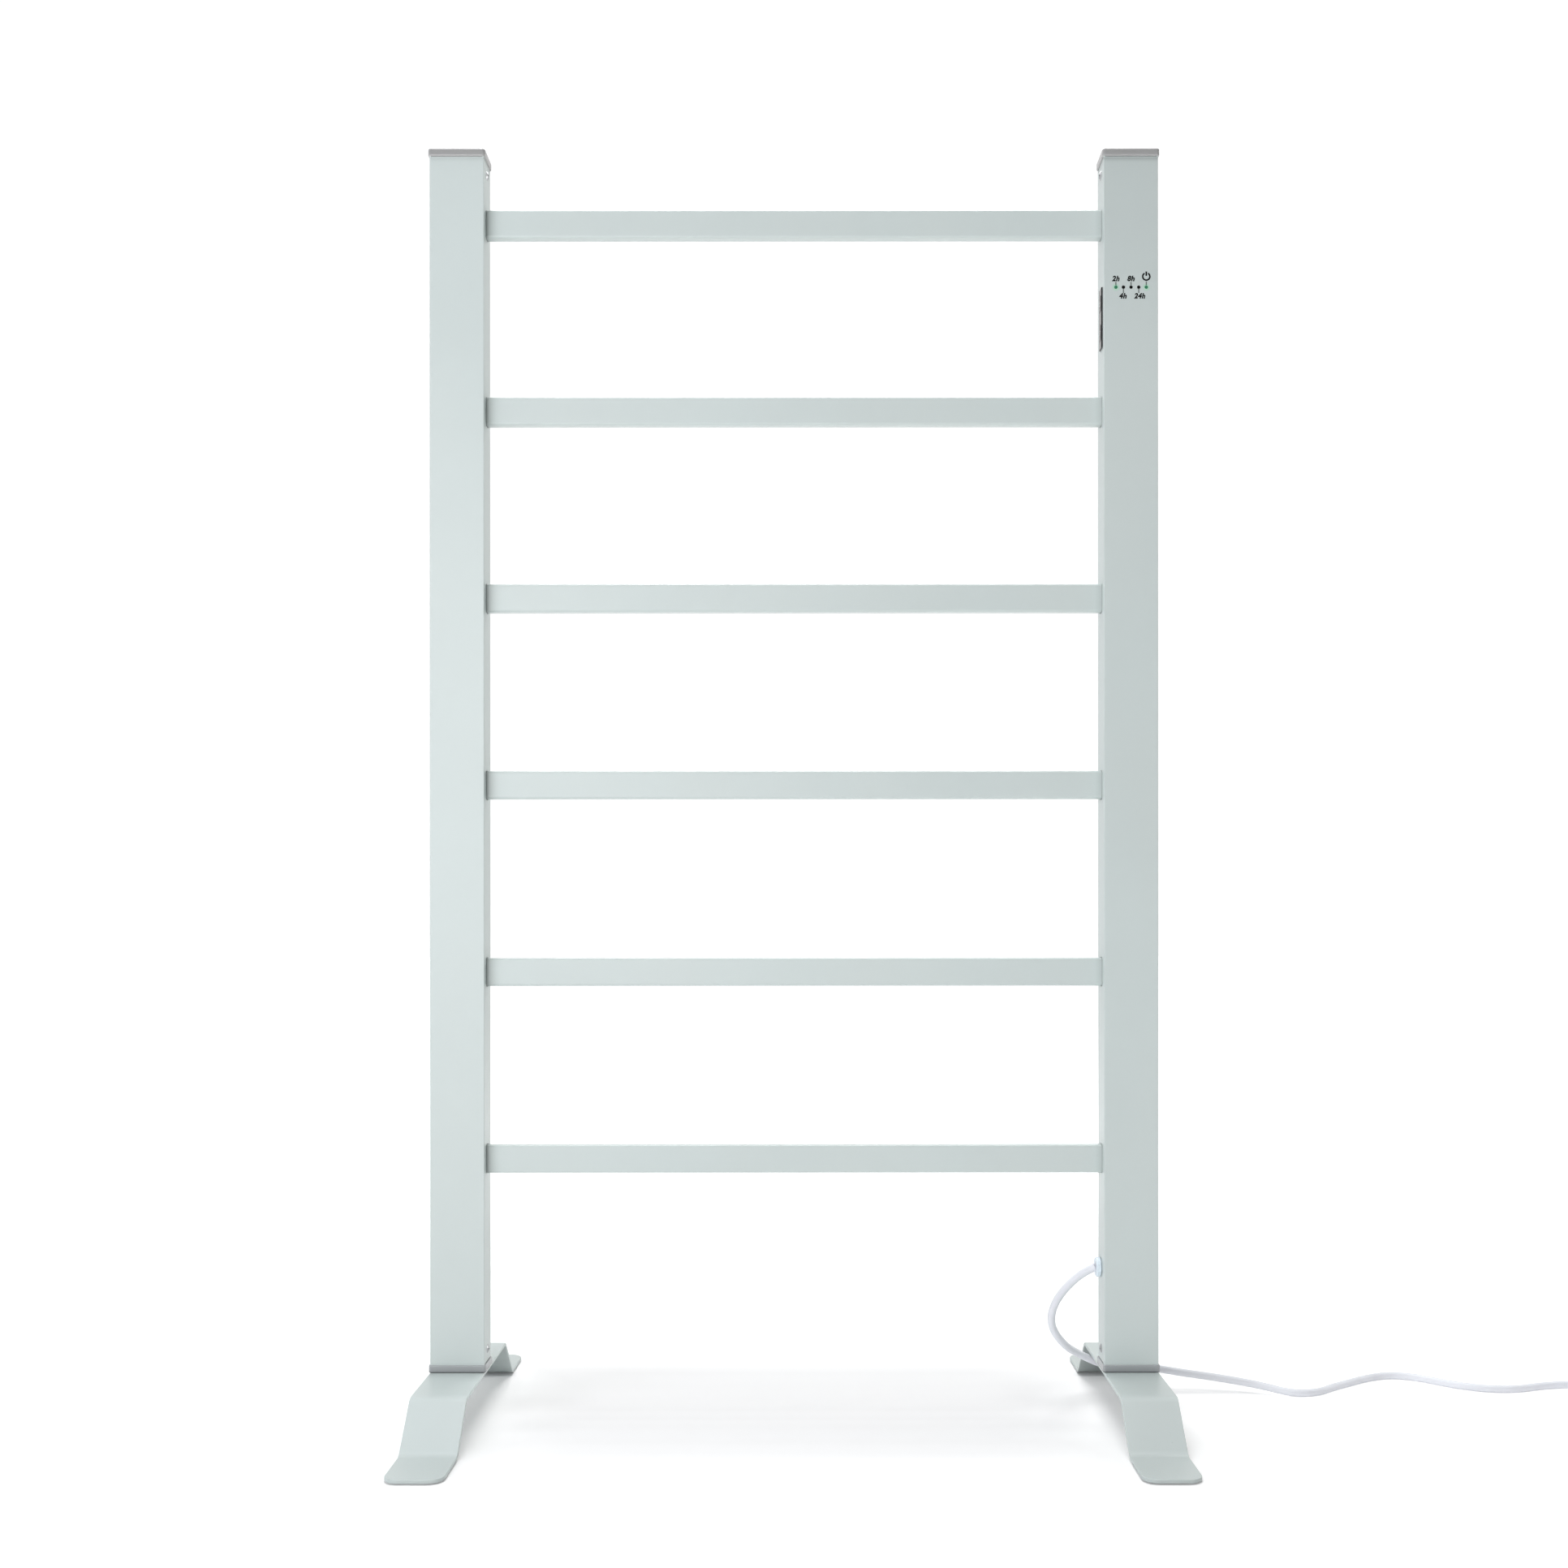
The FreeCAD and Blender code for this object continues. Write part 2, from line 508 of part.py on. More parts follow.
# one screw from the rear holds the terminal block and bonds the frame to earth
rs = (3.2 ** 2 + 1.3 ** 2) / (2 * 1.3)
yb = POST_D / 2.0
eh = Part.makeSphere(rs, V(EARTH_X, yb + 1.3 - rs, EARTH_Z)).common(
    box(EARTH_X - 8, EARTH_X + 8, yb, yb + 3, EARTH_Z - 8, EARTH_Z + 8))
eh = eh.cut(box(EARTH_X - 2.0, EARTH_X + 2.0, yb + 0.5, yb + 3, EARTH_Z - 0.42, EARTH_Z + 0.42))
eh = eh.cut(box(EARTH_X - 0.42, EARTH_X + 0.42, yb + 0.5, yb + 3, EARTH_Z - 2.0, EARTH_Z + 2.0))
save("earth_screw", eh.fuse(cyl((EARTH_X, 2.5, EARTH_Z), (0, 1, 0), 1.5, yb - 2.4)))

# strain relief grommet in the right post's inner wall
g = cyl((XI - GROM_OUT, GROM_Y, GROM_Z), (1, 0, 0), GROM_R, GROM_OUT)
g = g.makeFillet(1.3, edges_where(g, lambda b: abs(b.XMax - (XI - GROM_OUT)) < 1e-6))
groove = cyl((XI - 0.55, GROM_Y, GROM_Z), (1, 0, 0), 20.0, 1.0).cut(cyl((XI - 1.0, GROM_Y, GROM_Z), (1, 0, 0), 5.9, 2.0))
g = g.cut(groove)
g = g.fuse(cyl((XI - 0.6, GROM_Y, GROM_Z), (1, 0, 0), 5.1, 1.1 + POST_T))
g = g.fuse(cyl((XW + 0.02, GROM_Y, GROM_Z), (1, 0, 0), 6.4, 2.6))
g = g.cut(cyl((XI - 10, GROM_Y, GROM_Z), (1, 0, 0), CORD_R + 0.02, 20))
save("cord_grommet", g)

# the cord's inner end: through the grommet and up into the terminal block
xi0 = XI - GROM_OUT + 0.02
inner = [V(xi0, GROM_Y, GROM_Z), V(XI + 12.0, GROM_Y, GROM_Z), V(XI + 26.0, GROM_Y, GROM_Z + 14.0), V(XI + 26.0, GROM_Y, BLOCK_Z0 - 0.02)]
w_in = Part.Wire([Part.makeLine(inner[0], inner[1]),
                  Part.Arc(inner[1], V(XI + 12 + 14 * math.sin(math.radians(45)), GROM_Y,
                                       GROM_Z + 14 - 14 * math.cos(math.radians(45))), inner[2]).toShape(),
                  Part.makeLine(inner[2], inner[3])])
ci = w_in.makePipeShell([Part.Wire([Part.Circle(inner[0], V(1, 0, 0), CORD_R).toShape()])], True, False)
ci = Part.Solid(ci) if ci.ShapeType != "Solid" else ci
save("cord_inner_end", ci)

# supply lead from the terminal block up to the control board
lz = 788.0
l0, l1 = V(258.5, 6, BLOCK_Z1 + 0.02), V(258.5, 6, lz - 8.0)
l2, l3 = V(250.5, 6, lz), V(BOARD_X + 1.65, 6, lz)
w_l = Part.Wire([Part.makeLine(l0, l1),
                 Part.Arc(l1, V(250.5 + 8 * math.cos(math.radians(45)), 6, lz - 8 + 8 * math.sin(math.radians(45))), l2).toShape(),
                 Part.makeLine(l2, l3)])
ld = w_l.makePipeShell([Part.Wire([Part.Circle(l0, V(0, 0, 1), 2.2).toShape()])], True, False)
ld = Part.Solid(ld) if ld.ShapeType != "Solid" else ld
save("supply_lead", ld)

# ---------------------------------------------------------------- free cord
save("power_cord", tube(ROUTE, CORD_R, "power_cord"))

ring = Part.makeCylinder(COIL_RO, COIL_H, V(COIL_X, COIL_Y, COIL_Z0))
ring = ring.cut(Part.makeCylinder(COIL_RI, COIL_H + 2, V(COIL_X, COIL_Y, COIL_Z0 - 1)))
ring = ring.makeFillet(2.4, [e for e in ring.Edges if e.BoundBox.ZLength < 1e-6])
save("cord_coil", ring)

save("cord_tail", tube(TAIL, CORD_R, "cord_tail"))

# hook-and-loop tie round the coil's section, on the side towards the rack
tx0 = COIL_X - COIL_RO - TIE_T - 0.1
tx1 = COIL_X - math.sqrt(COIL_RI ** 2 - 36.0) + TIE_T + 0.1
tie = box(tx0, tx1, COIL_Y - 6.0, COIL_Y + 6.0, 0.0, COIL_Z0 + COIL_H + TIE_T + 0.1)
hole = box(tx0 + TIE_T, tx1 - TIE_T, COIL_Y - 7.0, COIL_Y + 7.0, TIE_T, COIL_Z0 + COIL_H + 0.1)
tie = tie.cut(hole)
save("coil_tie", tie)

# moulded plug: a tapered boot in one piece with a rounded body, and three flat pins
by1 = TAIL[-1][1] - 0.02
by0 = by1 - BOOT_L
boot = Part.makeCone(7.2, 3.8, BOOT_L + 3.0, V(PLUG_X, by0 - 3.0, PLUG_Z), V(0, 1, 0))
body = rprism(PLUG_X, by0 - PLUG_L / 2.0, PLUG_W, PLUG_L, 7.0, 0.05, 0.05 + PLUG_H)
body = body.makeFillet(4.0, [e for e in body.Edges if e.BoundBox.ZLength < 1e-6])
PF = by0 - PLUG_L


def pin(dx, dz, tilt, length, slack):
    w, t = PIN_W + slack, PIN_T + slack
    q = box(-w / 2.0, w / 2.0, PF - length, PF + 6.0, -t / 2.0, t / 2.0)
    if not slack:
        q = q.makeFillet(0.35, edges_where(q, lambda b: abs(b.YMax - (PF - length)) < 1e-6))
    q.rotate(V(0, 0, 0), V(0, 1, 0), tilt)
    q.translate(V(PLUG_X + dx, 0, PLUG_Z + dz))
    return q


for dx, dz, tilt, length in PINS:
    body = body.cut(pin(dx, dz, tilt, length, 0.04))
save("plug_body", body.fuse(boot))
save("plug_pins", Part.makeCompound([pin(dx, dz, tilt, length, 0.0) for dx, dz, tilt, length in PINS]))
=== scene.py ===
# Free-standing heated towel rack: finish, printed marks, cord, plug and studio.
import bpy
import bmesh
import math
from mathutils import Matrix, Vector


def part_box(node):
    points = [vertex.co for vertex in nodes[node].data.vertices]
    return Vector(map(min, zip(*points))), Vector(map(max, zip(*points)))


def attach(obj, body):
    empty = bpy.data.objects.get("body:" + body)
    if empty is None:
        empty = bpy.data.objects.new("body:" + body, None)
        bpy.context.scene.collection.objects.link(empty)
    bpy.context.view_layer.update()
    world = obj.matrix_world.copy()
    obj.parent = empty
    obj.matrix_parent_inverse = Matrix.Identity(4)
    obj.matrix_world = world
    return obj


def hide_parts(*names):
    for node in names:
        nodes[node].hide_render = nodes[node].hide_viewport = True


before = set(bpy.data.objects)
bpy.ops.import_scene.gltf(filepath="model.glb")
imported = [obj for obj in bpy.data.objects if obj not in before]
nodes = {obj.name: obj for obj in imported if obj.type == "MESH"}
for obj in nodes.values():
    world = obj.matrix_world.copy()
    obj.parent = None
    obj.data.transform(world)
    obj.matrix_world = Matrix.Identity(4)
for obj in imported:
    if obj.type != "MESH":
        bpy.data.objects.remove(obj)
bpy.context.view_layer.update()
scene = bpy.context.scene
scene.view_settings.view_transform = "Standard"
MM = 0.001
PICTURE = 1932.0

# ------------------------------------------------------------------ camera
cam_data = bpy.data.cameras.new("camera")
cam = bpy.data.objects.new("camera", cam_data)
scene.collection.objects.link(cam)
scene.camera = cam
CX, DIST, CZ, YAW, PITCH, ROLL, FOCAL, PPY, PPX = 7.1, 1233.6, 365.3, 0.0, 0.0, 0.0005, 2068.3, 1129.6, 24.5
cam_data.sensor_fit = "HORIZONTAL"
cam_data.sensor_width = 36.0
cam_data.lens = FOCAL * 36.0 / PICTURE
cam_data.shift_x = -PPX / PICTURE
cam_data.shift_y = (PPY - PICTURE / 2.0) / PICTURE
cam_data.clip_start, cam_data.clip_end = 0.02, 60.0
cam.location = (CX * MM, -DIST * MM, CZ * MM)
cam.rotation_euler = (math.pi / 2.0 + PITCH, ROLL, -YAW)

# ------------------------------------------------------------------ cord
CORD_R = 2.9
FLOOR = 2.95
ROUTE = [
    (221.7, 3.5, 107.1), (211.6, 5.8, 102.4), (196.5, 11.2, 85.4), (191.2, 18.6, 70.0),
    (193.4, 28.4, 55.3), (204.0, 36.8, 40.9), (216.7, 49.4, 31.2), (238.1, 57.5, 19.9),
    (264.5, 63.2, 19.0), (294.9, 63.7, 13.5), (328.9, 60.7, 9.4), (357.0, 53.4, 6.0),
    (377.0, 42.6, FLOOR), (397.3, 43.7, FLOOR), (412.6, 57.5, FLOOR), (428.8, 69.5, FLOOR),
    (448.2, 84.0, FLOOR), (468.6, 93.0, FLOOR), (487.4, 87.4, FLOOR), (500.8, 73.9, FLOOR),
    (512.8, 63.1, FLOOR), (531.6, 53.5, FLOOR), (554.4, 52.9, FLOOR), (580.0, 63.8, FLOOR),
    (606.0, 65.2, 3.3), (624.0, 65.2, 3.6),
]
TAIL = [(680.1, 16.5, 9.8), (677.6, 4.5, 10.7), (675.0, -7.0, 11.55)]
COIL_X, COIL_Y = 638.0, 27.9
TURN_POINTS = 16


def ease(t, a, b):
    u = min(1.0, max(0.0, (t - a) / (b - a)))
    return u * u * (3.0 - 2.0 * u)


def coil_points():
    """Two layers of three turns, clockwise from above, each turn a cord's width from the next."""
    found = []
    for k in range(int(6.25 * TURN_POINTS) + 1):
        t = k / TURN_POINTS
        r = 36.4 - 5.8 * ease(t, 0.9, 1.1) - 5.8 * ease(t, 1.9, 2.1)
        r += 5.8 * ease(t, 3.98, 4.2) + 5.8 * ease(t, 4.98, 5.22) + 5.8 * ease(t, 5.96, 6.25)
        z = 3.6 + 5.9 * ease(t, 2.76, 3.06)
        a = math.radians(90.0 - 360.0 * t)
        found.append((COIL_X + r / 0.983 * math.cos(a), COIL_Y + r / 0.983 * math.sin(a), z))
    return found


points = ROUTE + coil_points() + TAIL
cord_data = bpy.data.curves.new("supply_cord", "CURVE")
cord_data.dimensions = "3D"
spline = cord_data.splines.new("NURBS")
spline.points.add(len(points) - 1)
for p, q in zip(spline.points, points):
    p.co = (q[0] * MM, q[1] * MM, q[2] * MM, 1.0)
    p.radius = CORD_R * MM
spline.order_u = 3
spline.use_endpoint_u = True
spline.resolution_u = 8
cord_data.bevel_depth = 1.0
cord_data.bevel_resolution = 6
cord_data.use_fill_caps = True
cord = bpy.data.objects.new("supply_cord", cord_data)
scene.collection.objects.link(cord)
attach(cord, "frame")
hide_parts("power_cord", "cord_coil", "cord_tail")


# ------------------------------------------------------------------ materials
def srgb(r, g, b):
    def one(c):
        c /= 255.0
        return c / 12.92 if c <= 0.04045 else ((c + 0.055) / 1.055) ** 2.4
    return (one(r), one(g), one(b), 1.0)


class Mat:
    """A Principled material with helpers for procedural detail in the frame's own metres."""

    def __init__(self, name, rough=0.5, metallic=0.0, ior=1.5, spec=0.5):
        self.m = bpy.data.materials.new(name)
        self.m.use_nodes = True
        self.t = self.m.node_tree
        self.t.nodes.clear()
        self.out = self.n("ShaderNodeOutputMaterial")
        self.b = self.n("ShaderNodeBsdfPrincipled")
        self.l(self.b.outputs[0], self.out.inputs[0])
        self.b.inputs["Roughness"].default_value = rough
        self.b.inputs["Metallic"].default_value = metallic
        self.b.inputs["IOR"].default_value = ior
        self.b.inputs["Specular IOR Level"].default_value = spec
        self.co = self.n("ShaderNodeTexCoord").outputs["Object"]

    def n(self, kind):
        return self.t.nodes.new(kind)

    def l(self, a, b):
        self.t.links.new(a, b)

    def noise(self, scale, detail=3.0, rough=0.55, stretch=None, distortion=0.0):
        co = self.co
        if stretch:
            mp = self.n("ShaderNodeMapping")
            mp.inputs["Scale"].default_value = stretch
            self.l(self.co, mp.inputs["Vector"])
            co = mp.outputs[0]
        x = self.n("ShaderNodeTexNoise")
        x.inputs["Scale"].default_value = scale
        x.inputs["Detail"].default_value = detail
        x.inputs["Roughness"].default_value = rough
        x.inputs["Distortion"].default_value = distortion
        self.l(co, x.inputs["Vector"])
        return x.outputs["Fac"]

    def spots(self, scale, low, high):
        x = self.n("ShaderNodeTexVoronoi")
        x.inputs["Scale"].default_value = scale
        self.l(self.co, x.inputs["Vector"])
        return self.span(x.outputs["Distance"], low, high, 1.0, 0.0)

    def span(self, value, a, b, c, d):
        x = self.n("ShaderNodeMapRange")
        x.inputs["From Min"].default_value = a
        x.inputs["From Max"].default_value = b
        x.inputs["To Min"].default_value = c
        x.inputs["To Max"].default_value = d
        self.l(value, x.inputs["Value"])
        return x.outputs[0]

    def math(self, op, a, b=None):
        x = self.n("ShaderNodeMath")
        x.operation = op
        for s, v in zip(x.inputs, (a, b)):
            if v is None:
                continue
            if isinstance(v, (int, float)):
                s.default_value = v
            else:
                self.l(v, s)
        return x.outputs[0]

    def mix(self, fac, a, b):
        x = self.n("ShaderNodeMix")
        x.data_type = "RGBA"
        if isinstance(fac, (int, float)):
            x.inputs[0].default_value = fac
        else:
            self.l(fac, x.inputs[0])
        for s, v in ((x.inputs[6], a), (x.inputs[7], b)):
            if isinstance(v, tuple):
                s.default_value = v
            else:
                self.l(v, s)
        return x.outputs[2]

    def color(self, value):
        if isinstance(value, tuple):
            self.b.inputs["Base Color"].default_value = value
        else:
            self.l(value, self.b.inputs["Base Color"])
        return self

    def rough(self, value):
        self.l(value, self.b.inputs["Roughness"])
        return self

    def bump(self, height, distance, strength=1.0, base=None):
        x = self.n("ShaderNodeBump")
        x.inputs["Strength"].default_value = strength
        x.inputs["Distance"].default_value = distance
        self.l(height, x.inputs["Height"])
        if base is not None:
            self.l(base, x.inputs["Normal"])
        self.l(x.outputs[0], self.b.inputs["Normal"])
        return x.outputs[0]

    def axis(self, k):
        x = self.n("ShaderNodeSeparateXYZ")
        self.l(self.co, x.inputs[0])
        return x.outputs[k]

    def fade(self, value, a, b, c=0.0, d=1.0):
        """c at a and below, d at b and above, smoothly between."""
        x = self.n("ShaderNodeMapRange")
        x.interpolation_type = "SMOOTHSTEP"
        x.inputs["From Min"].default_value = a
        x.inputs["From Max"].default_value = b
        x.inputs["To Min"].default_value = c
        x.inputs["To Max"].default_value = d
        self.l(value, x.inputs["Value"])
        return x.outputs[0]

    def graph(self, value, stops):
        """A smooth line through stops of (value, result), which run upwards."""
        x = self.n("ShaderNodeFloatCurve")
        low, high = stops[0][0], stops[-1][0]
        least, most = min(r for _, r in stops), max(r for _, r in stops)
        curve = x.mapping.curves[0]
        for k, (v, r) in enumerate(stops):
            u, w = (v - low) / (high - low), (r - least) / (most - least)
            if k in (0, len(stops) - 1):
                curve.points[0 if k == 0 else len(curve.points) - 1].location = (u, w)
            else:
                curve.points.new(u, w)
        x.mapping.update()
        y = self.n("ShaderNodeMapRange")
        y.inputs["From Min"].default_value = low
        y.inputs["From Max"].default_value = high
        self.l(value, y.inputs["Value"])
        self.l(y.outputs[0], x.inputs["Value"])
        z = self.n("ShaderNodeMapRange")
        z.inputs["To Min"].default_value = least
        z.inputs["To Max"].default_value = most
        self.l(x.outputs[0], z.inputs["Value"])
        return z.outputs[0]

    def camera_ray(self):
        return self.n("ShaderNodeLightPath").outputs["Is Camera Ray"]

    def near(self, point, a, b):
        """1 within a of a point and 0 beyond b, in metres."""
        x = self.n("ShaderNodeVectorMath")
        x.operation = "DISTANCE"
        self.l(self.co, x.inputs[0])
        x.inputs[1].default_value = point
        y = self.n("ShaderNodeMapRange")
        y.interpolation_type = "SMOOTHSTEP"
        y.inputs["From Min"].default_value = a
        y.inputs["From Max"].default_value = b
        y.inputs["To Min"].default_value = 1.0
        y.inputs["To Max"].default_value = 0.0
        self.l(x.outputs["Value"], y.inputs["Value"])
        return y.outputs[0]


def scaled(c, k):
    return (c[0] * k, c[1] * k, c[2] * k, 1.0)


PAINT = (0.600, 0.668, 0.655, 1.0)
CAP = (0.350, 0.350, 0.348, 1.0)
COLLAR = (0.345, 0.362, 0.370, 1.0)
FOOT_TOP = 33.8
LAMP_X = (234.3, 256.4)
LAMP_Z = 823.2


def paint(name, lamps=False, top=0.0, upper=0.0, bar=False, shade=1.0, under=0.0, plate=0.0, toe=0.0):
    """Satin powder coat: faint clouding, fine orange peel, painted shade where parts meet, near the floor and on
    undersides, painted highlights, an overall shade factor, and painted lamp light on the paint round the lit lamps."""
    m = Mat(name)
    cloud = m.noise(7.0, 4.0, 0.5)
    cool = m.noise(11.0, 2.0, 0.5, stretch=(1.0, 1.0, 0.35))
    # shade scales the whole coat darker: lit and shaded copies of one paint
    base = m.mix(m.span(cloud, 0.3, 0.7, 0.0, 1.0), scaled(PAINT, 0.975 * shade), scaled(PAINT, 1.02 * shade))
    tint = (PAINT[0] * 1.012 * shade, PAINT[1] * 0.996 * shade, PAINT[2] * 0.990 * shade, 1.0)
    base = m.mix(m.span(cool, 0.35, 0.65, 0.0, 0.6), base, tint)
    grain = m.noise(2600.0, 2.0, 0.6)
    base = m.mix(m.span(grain, 0.35, 0.65, 0.0, 0.05), base, scaled(PAINT, 0.72))
    if top:
        # painted shadow on the post under the top cap, then a painted highlight on its last millimetre under the rim
        base = m.mix(m.fade(m.axis(2), 0.9136, 0.9186, 0.0, top), base, scaled(PAINT, 0.12))
        base = m.mix(m.fade(m.axis(2), 0.9174, 0.9183, 0.0, 0.55), base, scaled(PAINT, 1.45))
    if upper:
        # painted shade darkening the upper part of the post towards the top
        base = m.mix(m.fade(m.axis(2), 0.74, 0.93, 0.0, upper), base, scaled(PAINT, 0.12))
    if plate:
        # painted light on the foot plate in front of the post
        reach = m.math("MULTIPLY", m.fade(m.axis(1), -0.079, -0.073), m.fade(m.axis(1), -0.030, -0.012, 1.0, 0.0))
        base = m.mix(m.math("MULTIPLY", reach, plate), base, scaled(PAINT, 1.45))
    if toe:
        # painted light on the toe
        base = m.mix(m.fade(m.axis(1), -0.112, -0.106, toe, 0.0), base, scaled(PAINT, 1.45))
    if under:
        # painted shade near the floor and on faces turned downwards
        base = m.mix(m.fade(m.axis(2), 0.001, 0.006, 0.16, 0.0), base, scaled(PAINT, 0.12))
        face = m.n("ShaderNodeSeparateXYZ")
        m.l(m.n("ShaderNodeNewGeometry").outputs["Normal"], face.inputs[0])
        base = m.mix(m.fade(face.outputs[2], -0.6, -0.15, under, 0.0), base, scaled(PAINT, 0.12))
    if bar:
        # painted shade at the bar ends: darker at both ends, more at the left end, and a dark painted line at the
        # slots
        reach = m.math("ABSOLUTE", m.axis(0))
        base = m.mix(m.fade(reach, 0.2195, 0.2255, 0.0, 0.16), base, scaled(PAINT, 0.12))
        base = m.mix(m.fade(m.axis(0), -0.2255, -0.2150, 0.14, 0.0), base, scaled(PAINT, 0.12))
        base = m.mix(m.fade(m.axis(0), -0.2255, -0.2226, 0.30, 0.0), base, scaled(PAINT, 0.12))
        base = m.mix(m.fade(reach, 0.2249, 0.2255, 0.0, 0.35), base, scaled(PAINT, 0.12))
    if lamps:
        # painted lamp light: a pale green glow in the paint's colour round each lit lamp
        for x in LAMP_X:
            at = (x * MM, -0.0125, LAMP_Z * MM)
            base = m.mix(m.math("MULTIPLY", m.near(at, 0.0012, 0.0034), 0.75), base, srgb(170, 219, 190))
    m.color(base)
    m.rough(m.span(m.noise(900.0, 3.0), 0.3, 0.7, 0.31, 0.40))
    peel = m.noise(1500.0, 2.0, 0.5)
    waves = m.noise(420.0, 1.0, 0.5)
    first = m.bump(waves, 0.00004, 0.35)
    m.bump(peel, 0.00002, 0.5, first)
    return m.m


def moulded(name, base, rough=0.38, grain=1800.0, depth=0.00002, vary=0.03, spec=0.5):
    """Moulded plastic: fine spark-eroded grain and slight colour and gloss variation."""
    m = Mat(name, spec=spec)
    c = m.mix(m.span(m.noise(14.0, 3.0), 0.3, 0.7, 0.0, 1.0), scaled(base, 1.0 - vary), scaled(base, 1.0 + vary))
    m.color(c)
    m.rough(m.span(m.noise(500.0, 3.0), 0.3, 0.7, rough - 0.05, rough + 0.06))
    m.bump(m.noise(grain, 2.0, 0.6), depth, 0.6)
    return m.m


def rim(name, base, stops):
    """Satin plastic rim with painted shade and painted highlights that follow its height: stops are heights in mm and
    factors.
    """
    m = Mat(name)
    x = m.n("ShaderNodeFloatCurve")
    low, high = stops[0][0], stops[-1][0]
    curve = x.mapping.curves[0]
    for k, (z, f) in enumerate(stops):
        u, v = (z - low) / (high - low), f / 2.0
        if k in (0, len(stops) - 1):
            p = curve.points[0 if k == 0 else len(curve.points) - 1]
            p.location = (u, v)
        else:
            p = curve.points.new(u, v)
        p.handle_type = "VECTOR"
    x.mapping.update()
    m.l(m.span(m.axis(2), low * MM, high * MM, 0.0, 1.0), x.inputs["Value"])
    cloud = m.span(m.noise(14.0, 3.0), 0.3, 0.7, 0.97, 1.03)
    m.color(m.mix(m.math("MULTIPLY", x.outputs[0], cloud), (0.0, 0.0, 0.0, 1.0), scaled(base, 2.0)))
    m.rough(m.span(m.noise(500.0, 3.0), 0.3, 0.7, 0.17, 0.27))
    m.bump(m.noise(2200.0, 2.0, 0.6), 0.00001, 0.5)
    return m.m


def metal(name, base, rough=0.25, brushed=None):
    m = Mat(name, metallic=1.0)
    fine = m.noise(900.0, 3.0, 0.6, stretch=brushed)
    m.color(m.mix(m.span(fine, 0.3, 0.7, 0.0, 1.0), scaled(base, 0.9), scaled(base, 1.05)))
    m.rough(m.span(m.noise(2400.0, 2.0), 0.3, 0.7, rough - 0.06, rough + 0.08))
    m.bump(fine, 0.00001, 0.4)
    return m.m


def gloss_black(name):
    m = Mat(name, rough=0.08)
    m.color(m.mix(m.span(m.noise(40.0, 3.0), 0.3, 0.7, 0.0, 1.0), srgb(16, 16, 17), srgb(24, 24, 26)))
    dust = m.spots(1100.0, 0.02, 0.10)
    m.rough(m.math("ADD", m.span(m.noise(120.0, 4.0), 0.3, 0.7, 0.05, 0.11), m.math("MULTIPLY", dust, 0.12)))
    m.bump(m.noise(2500.0, 1.0), 0.000002, 0.3)
    return m.m


def ink(name, colour, rough=0.6):
    m = Mat(name, spec=0.2)
    m.color(m.mix(m.span(m.noise(3000.0, 2.0), 0.3, 0.7, 0.0, 1.0), scaled(colour, 0.85), scaled(colour, 1.15)))
    m.rough(m.span(m.noise(1200.0, 2.0), 0.3, 0.7, rough - 0.05, rough + 0.08))
    m.bump(m.noise(3500.0, 2.0), 0.000008, 0.4)
    return m.m


def lamp(name, lit):
    m = Mat(name, rough=0.22)
    if lit:
        core = m.mix(m.span(m.noise(900.0, 2.0), 0.3, 0.7, 0.0, 1.0), srgb(46, 104, 76), srgb(60, 124, 92))
        m.color(core)
        m.l(core, m.b.inputs["Emission Color"])
        m.b.inputs["Emission Strength"].default_value = 0.25
    else:
        m.color(m.mix(m.span(m.noise(900.0, 2.0), 0.3, 0.7, 0.0, 1.0), srgb(4, 5, 5), srgb(9, 10, 10)))
    m.rough(m.span(m.noise(1500.0, 2.0), 0.3, 0.7, 0.18, 0.28))
    m.bump(m.noise(2000.0, 1.0), 0.000008, 0.4)
    return m.m


def pvc(name, base):
    """Soft white PVC: satin, with a faint lengthwise variation and fine extrusion ripple."""
    m = Mat(name, rough=0.42)
    m.color(m.mix(m.span(m.noise(22.0, 3.0), 0.3, 0.7, 0.0, 1.0), scaled(base, 0.97), scaled(base, 1.025)))
    m.rough(m.span(m.noise(700.0, 3.0), 0.3, 0.7, 0.36, 0.48))
    ripple = m.noise(260.0, 2.0, 0.5)
    first = m.bump(ripple, 0.00005, 0.3)
    m.bump(m.noise(2200.0, 2.0), 0.000015, 0.5, first)
    return m.m


def rubber(name, base):
    m = Mat(name, rough=0.85, spec=0.3)
    m.color(m.mix(m.span(m.noise(60.0, 4.0), 0.3, 0.7, 0.0, 1.0), scaled(base, 0.85), scaled(base, 1.2)))
    m.rough(m.span(m.noise(900.0, 3.0), 0.3, 0.7, 0.75, 0.95))
    m.bump(m.noise(1600.0, 3.0), 0.00006, 0.8)
    return m.m


def woven(name, base):
    """Hook-and-loop strap: a fine woven ground with tiny loops."""
    m = Mat(name, rough=0.9, spec=0.2)
    m.b.inputs["Sheen Weight"].default_value = 0.4
    m.b.inputs["Sheen Roughness"].default_value = 0.5
    x = m.n("ShaderNodeTexWave")
    x.wave_type = "BANDS"
    x.bands_direction = "Y"
    x.inputs["Scale"].default_value = 420.0
    x.inputs["Distortion"].default_value = 1.5
    m.l(m.co, x.inputs["Vector"])
    y = m.n("ShaderNodeTexWave")
    y.wave_type = "BANDS"
    y.bands_direction = "DIAGONAL"
    y.inputs["Scale"].default_value = 300.0
    y.inputs["Distortion"].default_value = 2.0
    m.l(m.co, y.inputs["Vector"])
    weave = m.math("MULTIPLY", x.outputs["Fac"], y.outputs["Fac"])
    m.color(m.mix(weave, scaled(base, 0.55), scaled(base, 1.3)))
    m.rough(m.span(weave, 0.0, 1.0, 0.95, 0.75))
    m.bump(weave, 0.0002, 0.8)
    return m.m


